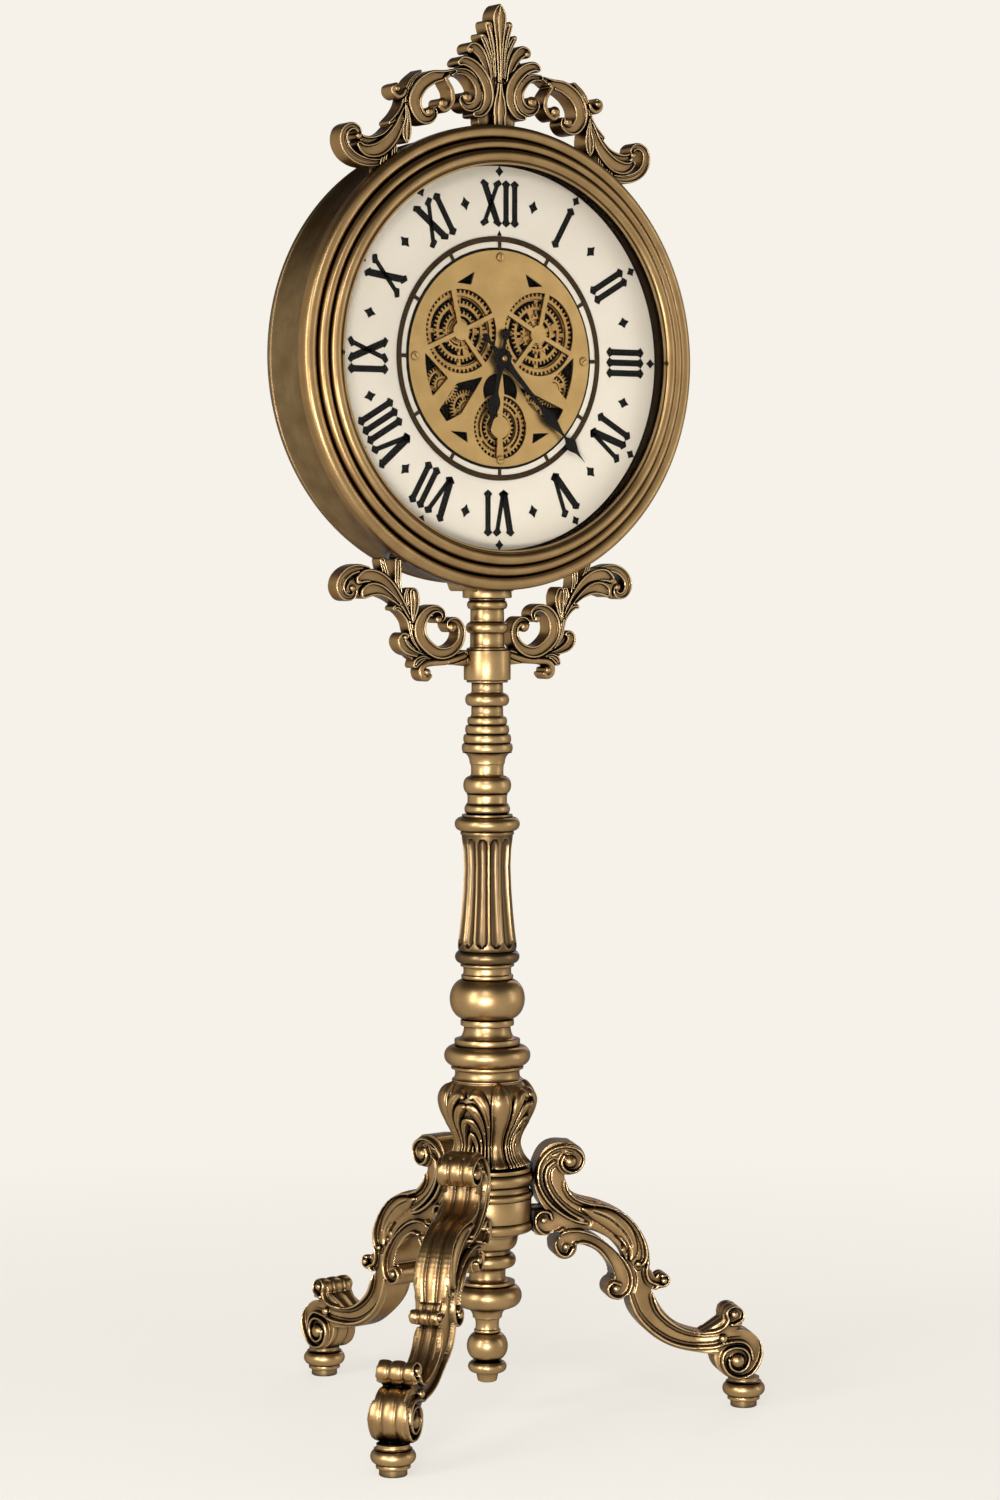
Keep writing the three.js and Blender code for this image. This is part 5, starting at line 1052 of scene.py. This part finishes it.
def numerals_and_shadow_ring():
    pieces = []

    def lay(outline, turn):
        spots = clockwise(outline, turn)
        faces = tessellate_polygon([[Vector((x, z, 0)) for x, z in spots]])
        pieces.append(([(x, PRINT_FRONT, z) for x, z in spots], [tuple(face) for face in faces]))

    for hour, (numeral, spots) in enumerate(NUMERALS.items()):
        turn = math.radians(30 * hour)
        for letter, u in zip(numeral, spots):
            for inner, outer, thin in LETTERS[letter]:
                lay(stem(u + inner, u + outer, thin), turn)
        lay(star(200.8, 6.0, 5.4, 0.46), turn)
        lay(star(170, 7.8, 6.2, 0.44), turn + math.radians(15))
    lay([(-3.2, 131.8), (0, 138), (3.2, 131.8)], 0)
    # Painted shadow: a black ring printed on the dial from 116 to 119.4 mm stands for the shade in the gap round the
    # plate's edge.
    for k in range(60):
        a, b = math.radians(6 * k), math.radians(6 * k + 6)
        corners = [(r * math.cos(t), PRINT_FRONT, r * math.sin(t))
                   for r, t in ((116, a), (119.4, a), (119.4, b), (116, b))]
        pieces.append((corners, [(0, 1, 2, 3)]))
    settle(make("dial_print_and_shadow", pieces, PRINT_AND_SHADOW, DIAL), "black_paint")


numerals_and_shadow_ring()


def chapter_ring():
    """Dark ring with twelve short spokes inwards."""
    radius, spoke_end = 125.4, 118.2
    half, tip = math.degrees(2 / 125.4), math.degrees(2 / 118)
    inner = []
    for hour in range(12):
        at = 90 - 30 * hour
        inner += [on_circle(at + half, radius), on_circle(at + tip, spoke_end), on_circle(at - tip, spoke_end),
                  on_circle(at - half, radius)]
        inner += [on_circle(at - half - (30 - 2 * half) * k / 8, radius) for k in range(1, 8)]
    piece = flat_piece("chapter_ring_cut", [circle(0, 0, 131.4, 160), inner], -25, -24, BRONZE, 0.2)
    settle(piece, "dark_bronze", "chapter_ring")


chapter_ring()

PIN = [(0, -44.6), (1.2, -44.4), (1.9, -43.7), (2.1, -42.6), (2.1, -41), (0, -41)]
for word, x in (("left", -208.6), ("right", 208.6)):
    dial_turned("bezel_pin_" + word, PIN, BRONZE, "antique_brass", sides=24, closed=False, shift=(x, 0))


# ---------- Gear train ----------
MODULE = 1.25
TEETH = {"wheel": 68, "idler": 32, "pinion": 30, "lower": 44}


def pitch(teeth):
    return MODULE * teeth / 2


def gear_places():
    wheel = (50.0, 28.0)
    lower = (0.0, -74.0)
    dx, dz = on_circle(-69, pitch(68) + pitch(32))
    idler = (wheel[0] + dx, wheel[1] + dz)
    span_a, span_b = pitch(44) + pitch(30), pitch(32) + pitch(30)
    gap = math.hypot(idler[0] - lower[0], idler[1] - lower[1])
    along = (gap * gap + span_a ** 2 - span_b ** 2) / (2 * gap)
    aside = math.sqrt(span_a ** 2 - along ** 2)
    ux, uz = (idler[0] - lower[0]) / gap, (idler[1] - lower[1]) / gap
    pinion = (lower[0] + ux * along + uz * aside, lower[1] + uz * along - ux * aside)
    return {"wheel": wheel, "idler": idler, "pinion": pinion, "lower": lower}


PLACES = gear_places()


def meshed(driver, phase, driven):
    (x0, z0), (x1, z1) = PLACES[driver], PLACES[driven]
    bearing = math.atan2(z1 - z0, x1 - x0)
    step = (bearing - phase) * TEETH[driver] / (2 * math.pi)
    return bearing + math.pi - (0.5 - step) * 2 * math.pi / TEETH[driven]


PHASES = {"lower": math.pi / 2}
PHASES["pinion"] = meshed("lower", PHASES["lower"], "pinion")
PHASES["idler"] = meshed("pinion", PHASES["pinion"], "idler")
PHASES["wheel"] = meshed("idler", PHASES["idler"], "wheel")


def teeth_outline(x, z, root, tip, count, phase, fill):
    points = []
    for k in range(count):
        for radius, turn in ((root, -fill - 0.05), (tip, -fill + 0.05), (tip, fill - 0.05), (root, fill + 0.05)):
            a = phase + (k + turn) * (2 * math.pi / count)
            points.append((x + radius * math.cos(a), z + radius * math.sin(a)))
    return points


def window(x, z, r0, r1, a0, a1):
    """An opening between two radii and two angles about (x, z)."""
    steps = 8
    outer = [on_circle(a0 + (a1 - a0) * k / steps, r1) for k in range(steps + 1)]
    inner = [on_circle(a1 - (a1 - a0) * k / steps, r0) for k in range(steps + 1)]
    return [(x + px, z + pz) for px, pz in outer + inner]


def gear(kind, side, body, node):
    """A wheel's layers: the wheel that meshes, and rings of teeth in front of it. Each is (outlines, front, back),
    with the depths in mm from the column's plane."""
    x, z = PLACES[kind]
    x *= side
    radius = pitch(TEETH[kind])
    phase = PHASES[kind] if side > 0 else math.pi - PHASES[kind]

    def toothed(root, tip, count, fill=0.2):
        return teeth_outline(x, z, root, tip, count, phase, fill)

    def ring(size):
        return circle(x, z, size)

    def openings(r0, r1, inset, first):
        return [window(x, z, r0, r1, first + a + inset, first + a + 90 - inset) for a in (0, 90, 180, 270)]

    outline = toothed(radius - 2.9, radius + 0.9, TEETH[kind])
    if kind == "wheel":
        layers = [
            ([outline] + openings(14, 36.4, 4, 0), -20.6, -15.4),
            ([toothed(29.6, 33.0, 40)] + openings(11.6, 26.4, 9, 20), -22.0, -20.4),
            ([toothed(18.8, 21.8, 26), ring(16.4)], -22.8, -21.8),
            ([toothed(8.2, 10.6, 14, 0.24)], -22.8, -21.8),
            ([ring(40.6), ring(38.0)], -22.0, -20.5),
            ([toothed(41.0, 44.6, 50), ring(37.8)], -22.95, -21.7),
        ]
    elif kind == "lower":
        layers = [
            ([outline] + openings(12, 21.8, 5, 45), -20.6, -15.4),
            ([toothed(16.6, 19.4, 24)] + openings(12.6, 14.6, 6, 0), -21.6, -20.4),
            ([ring(12.4), ring(10.8)], -22.4, -21.5),
            ([ring(24.4), ring(22.4)], -22.0, -20.5),
            ([toothed(29.9, 33.4, 38), ring(22.2)] + openings(24.6, 27.4, 5, 30), -22.95, -21.7),
        ]
    else:
        layers = [
            ([outline] + openings(6.4, radius - 5.2, 12, 15), -20.6, -15.4),
            ([toothed(radius * 0.48, radius * 0.62, 18), ring(radius * 0.36)], -21.8, -20.4),
            ([ring(radius * 0.3)], -22.6, -21.7),
        ]
    for k, (outlines, front, back) in enumerate(layers):
        piece = flat_piece(f"{node}_{k}", outlines, front, back, GEAR_BRASS, 0.18)
        settle(piece, "brushed_brass", *([node] if k == 0 else []), body=body)


for side, word in ((1, "right"), (-1, "left")):
    for kind in ("wheel", "idler", "pinion"):
        gear(kind, side, f"{kind}_{word}", f"{word}_{kind}")
gear("lower", 1, "wheel_lower", "lower_wheel")


# ---------- Skeleton plate ----------
def soft_outline(corners, pull=0.16):
    """Polygon with eased corners."""
    result, per, count = [], 3, len(corners)
    for i in range(count):
        before, here, after = corners[i - 1], corners[i], corners[(i + 1) % count]
        a = (here[0] + (before[0] - here[0]) * pull * 0.5, here[1] + (before[1] - here[1]) * pull * 0.5)
        b = (here[0] + (after[0] - here[0]) * pull * 0.5, here[1] + (after[1] - here[1]) * pull * 0.5)
        for k in range(per + 1):
            t = k / per
            result.append(tuple((1 - t) ** 2 * a[n] + 2 * t * (1 - t) * here[n] + t * t * b[n] for n in (0, 1)))
    return result


def wheel_windows(x, z, radius, hub, angles, half_width):
    """Openings between tapered spokes."""
    holes = []
    out0, in0 = math.degrees(half_width / radius), math.degrees((half_width - 0.4) / hub)
    for a0, a1 in zip(angles, angles[1:] + [angles[0] + 360]):
        outer = [on_circle(a0 + out0 + (a1 - a0 - 2 * out0) * k / 14, radius) for k in range(15)]
        inner = [on_circle(a1 - in0 - (a1 - a0 - 2 * in0) * k / 6, hub) for k in range(7)]
        holes.append([(x + px, z + pz) for px, pz in outer + inner])
    return holes


def skeleton_plate():
    def both(corners):
        return [corners, [(-x, z) for x, z in corners]]

    arc_side = [on_circle(a, 96) for a in (2, -4, -10, -16, -22, -26)]
    openings = wheel_windows(50.5, 27.5, 45, 10, [76, 151, 230, 334.6], 2.8)
    openings += wheel_windows(-50, 28, 45, 10, [24, 103, 204, 310], 2.8)
    openings += both(soft_outline([(33, 92), (55.5, 79.5), (37.5, 78)]))
    openings += both(soft_outline(arc_side + [(66.8, -22.5)], pull=0.1))
    openings.append(soft_outline([(-22, -20), (-56, -28), (-78.5, -57), (-69, -69), (-50, -60)]))
    openings.append(soft_outline([(25, -30), (83, -53), (76.5, -64), (66, -70), (52, -60), (38, -50)]))
    openings += both(soft_outline([(43, -80), (64, -79), (42, -91)]))
    left_eye = []
    for k in range(25):
        x, z = on_circle(90 + 180 * k / 24, 19)
        x, z = x - 3, z + 39
        stretch = max(1, 36.2 / math.hypot(x, z))
        left_eye.append((x * stretch, z * stretch - 74))
    openings += both(left_eye)
    half_ring = [on_circle(98 + 164 * k / 20, 34) for k in range(21)]
    half_hub = [on_circle(255 - 150 * k / 10, 12) for k in range(11)]
    lower = [(x, z - 74) for x, z in half_ring + half_hub]
    openings += [lower, [(-x, z) for x, z in reversed(lower)]]
    piece = flat_piece("skeleton_plate_cut", [circle(0, 0, 116.5, 160)] + openings, -25.7, -23.4, PLATE_BRASS, 0.3)
    settle(piece, "brushed_brass", "skeleton_plate")


skeleton_plate()


def plate_screws():
    """Screw heads with their pillars behind the plate, and a slot in each head."""
    head = [(0, -27.5), (3.6, -27.5), (4.3, -27.1), (4.5, -26.3), (4.5, -25.8), (2.2, -25.8), (2.2, -23.1),
            (3.2, -23.1), (3.2, -11.6), (0, -11.6)]
    for k in range(4):
        x, z = on_circle(90 * k, 109)
        node = f"plate_pillar_{k + 1}"
        dial_turned(node + "_turned", head, PLATE_BRASS, "brushed_brass", node, sides=32, closed=False, shift=(x, z))
        c, s = math.cos(math.radians(35 + 50 * k)), math.sin(math.radians(35 + 50 * k))
        slot = [(x + u * c - v * s, -27.54, z + u * s + v * c)
                for u, v in ((-3.4, -0.45), (3.4, -0.45), (3.4, 0.45), (-3.4, 0.45))]
        settle(make(f"plate_slot_{k + 1}", [(slot, [(0, 1, 2, 3)])], BRONZE, DIAL), "dark_bronze")


plate_screws()


# ---------- Hands ----------
def hand(word, half, degrees, front):
    """A flat hand from its right edge, as (distance from the hub, half width), turned clockwise from twelve."""
    side = smooth_path([(w, v) for v, w in half], 4)
    outline = clockwise(side + [(-u, v) for u, v in reversed(side)], math.radians(degrees))
    piece = flat_piece(word + "_hand_cut", [outline], front, front + 1.2, HAND_BLACK, 0.35)
    settle(piece, "black_paint", word + "_hand", body=word)


hand("minute", [
    (154, 0.15), (146, 0.9), (139, 2.4), (133, 5.6), (128, 7), (123, 5.2), (119, 2.2), (115, 1.4), (108, 2.2),
    (100, 4.4), (92, 6.4), (86, 7), (81, 5.6), (75, 3.0), (66, 2.3), (40, 2.9), (20, 3.6), (8, 5),
    (-8, 4), (-16, 2), (-24, 2), (-28, 3.6), (-31, 4.2), (-34, 2.6), (-36, 0.1),
], 135.7, -31.6)
hand("hour", [
    (81, 0.15), (74, 1.2), (66, 2.6), (59, 5), (53, 6.8), (48, 7.2), (43, 5.6), (38, 3), (30, 2.4), (18, 3.2), (7, 5),
    (-7, 3.4), (-14, 2), (-20, 2), (-23.4, 4.4), (-27, 5.4), (-31, 4.4), (-33, 0.1),
], 191.3, -29.6)
HUB = [(0, -32.2), (9.6, -32.2), (11, -31.2), (11, -30.6), (9.8, -30.2), (1.5, -30.2), (1.5, 8), (0, 8)]
SLEEVE = [(8, -29.8), (8, -28.2), (2.9, -28.2), (2.9, -3), (1.9, -3), (1.9, -29.8)]
NUT = [(0, -35.9), (2.2, -35.8), (3.2, -35), (3.5, -33.8), (3.5, -32.4), (3.2, -32.2), (0, -32.2)]
dial_turned("minute_hub", HUB, HAND_BLACK, "black_paint", sides=48, closed=False, body="minute")
dial_turned("hour_sleeve", SLEEVE, BLACK, "black_paint", sides=40, body="hour")
dial_turned("hand_nut_turned", NUT, PLATE_BRASS, "brushed_brass", "hand_nut", sides=32, closed=False, body="minute")


# ---------- Finishes of the CAD nodes that stay ----------
def finish_nodes():
    """Looks for the CAD nodes that stay, by the start of their names."""
    looks = {
        ("back_cover", "service_door"): BRONZE, ("gear_tray",): TRAY, ("battery_1", "battery_2"): JACKET,
        ("movement_case", "gear_motor", "battery_holder", "set_knob"): PLASTIC,
        ("tie_rod", "cover_screw", "leg_bolt", "crown_bolt", "bracket_bolt"): STEEL,
    }
    for name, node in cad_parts.items():
        for starts, look in looks.items():
            if name.startswith(starts):
                for slot in node.material_slots:
                    slot.material = look


finish_nodes()


# ---------- Studio ----------
BACKDROP = "F6F2E9"
FLOOR_RADIUS = 12
SOFT_LIGHT = 0.4


def direct_rays(tree):
    """1 for the rays that show the background: camera, glossy and transmission rays."""
    path = add(tree, "LightPath")
    seen = add(tree, "Math", {0: path.outputs["Is Camera Ray"], 1: path.outputs["Is Glossy Ray"]}, operation="MAXIMUM")
    return add(tree, "Math", {0: seen.outputs[0], 1: path.outputs["Is Transmission Ray"]},
               operation="MAXIMUM").outputs[0]


def studio_floor():
    """Pale paper that takes the clock's shadow near it, and fades into the backdrop further away."""
    rim = [(*on_circle(a, FLOOR_RADIUS), 0) for a in range(0, 360, 6)]
    mesh = bpy.data.meshes.new("studio_floor")
    mesh.from_pydata(rim, [], [tuple(range(60))])
    look, tree, shader, where = new_look("studio_paper")
    feed(shader, {
        "Base Color": ramp(tree, noise(tree, where, 1.2, 2), [(0.3, rgb("EAE7E1")), (0.7, rgb("EFECE6"))]),
        "Roughness": 0.9,
    })
    away = add(tree, "VectorMath", {0: where, 1: AXIS}, operation="DISTANCE").outputs["Value"]
    share = add(tree, "Math", {0: fit(tree, away, 0.4, 1.9, 0.7, 1), 1: direct_rays(tree)}, operation="MULTIPLY")
    paper = add(tree, "Emission", {"Color": rgb(BACKDROP), "Strength": 1.0})
    show(tree, add(tree, "MixShader", {0: share.outputs[0], 1: shader.outputs[0], 2: paper.outputs[0]}))
    mesh.materials.append(look)
    add_object("studio_floor", mesh)


def studio_world():
    """Soft light from all sides, and the pale backdrop with a dark ceiling for the rays that show it."""
    world = bpy.data.worlds.new("studio")
    scene.world = world
    world.use_nodes = True
    tree = world.node_tree
    tree.nodes.clear()
    lamp = add(tree, "Background", {"Color": (1, 0.985, 0.96, 1), "Strength": SOFT_LIGHT})
    parts = add(tree, "SeparateXYZ", {0: add(tree, "TexCoord").outputs["Generated"]})
    wall_and_ceiling = ramp(tree, parts.outputs["Z"], [(0.3, rgb(BACKDROP)), (0.62, rgb("3A3834"))])
    white = add(tree, "Background", {"Color": wall_and_ceiling, "Strength": 1.0})
    whole = add(tree, "MixShader", {0: direct_rays(tree), 1: lamp.outputs[0], 2: white.outputs[0]})
    add(tree, "OutputWorld", {"Surface": whole.outputs[0]})


def lamp_at(name, azimuth, distance, height, aim, size, power, colour, cone=180):
    """A panel lamp about the column, turned to a height on its axis."""
    light = bpy.data.lights.new(name, "AREA")
    light.shape = "RECTANGLE"
    light.size, light.size_y = size
    light.energy = power
    light.color = colour
    light.spread = math.radians(cone)
    holder = add_object(name, light)
    holder.location = around(azimuth, distance, height)
    look_at = AXIS + Vector((0, 0, aim))
    holder.rotation_euler = (look_at - holder.location).to_track_quat("-Z", "Y").to_euler()


studio_floor()
studio_world()
lamp_at("key", -78, 3.0, 1.3, 0.9, (0.6, 2.3), 54, (1, 0.985, 0.96))
lamp_at("fill", 52, 3.1, 1.1, 0.7, (0.5, 2.0), 10, (1, 0.985, 0.96))
lamp_at("front", -38, 2.8, 2.4, 0.7, (0.7, 0.7), 22, (1, 0.99, 0.97))
lamp_at("low", -40, 2.5, 0.35, 0.25, (1.2, 0.45), 12, (1, 0.99, 0.97), 70)
lamp_at("rim", 125, 3.0, 2.0, 0.9, (0.7, 2.6), 20, (1, 0.98, 0.95))
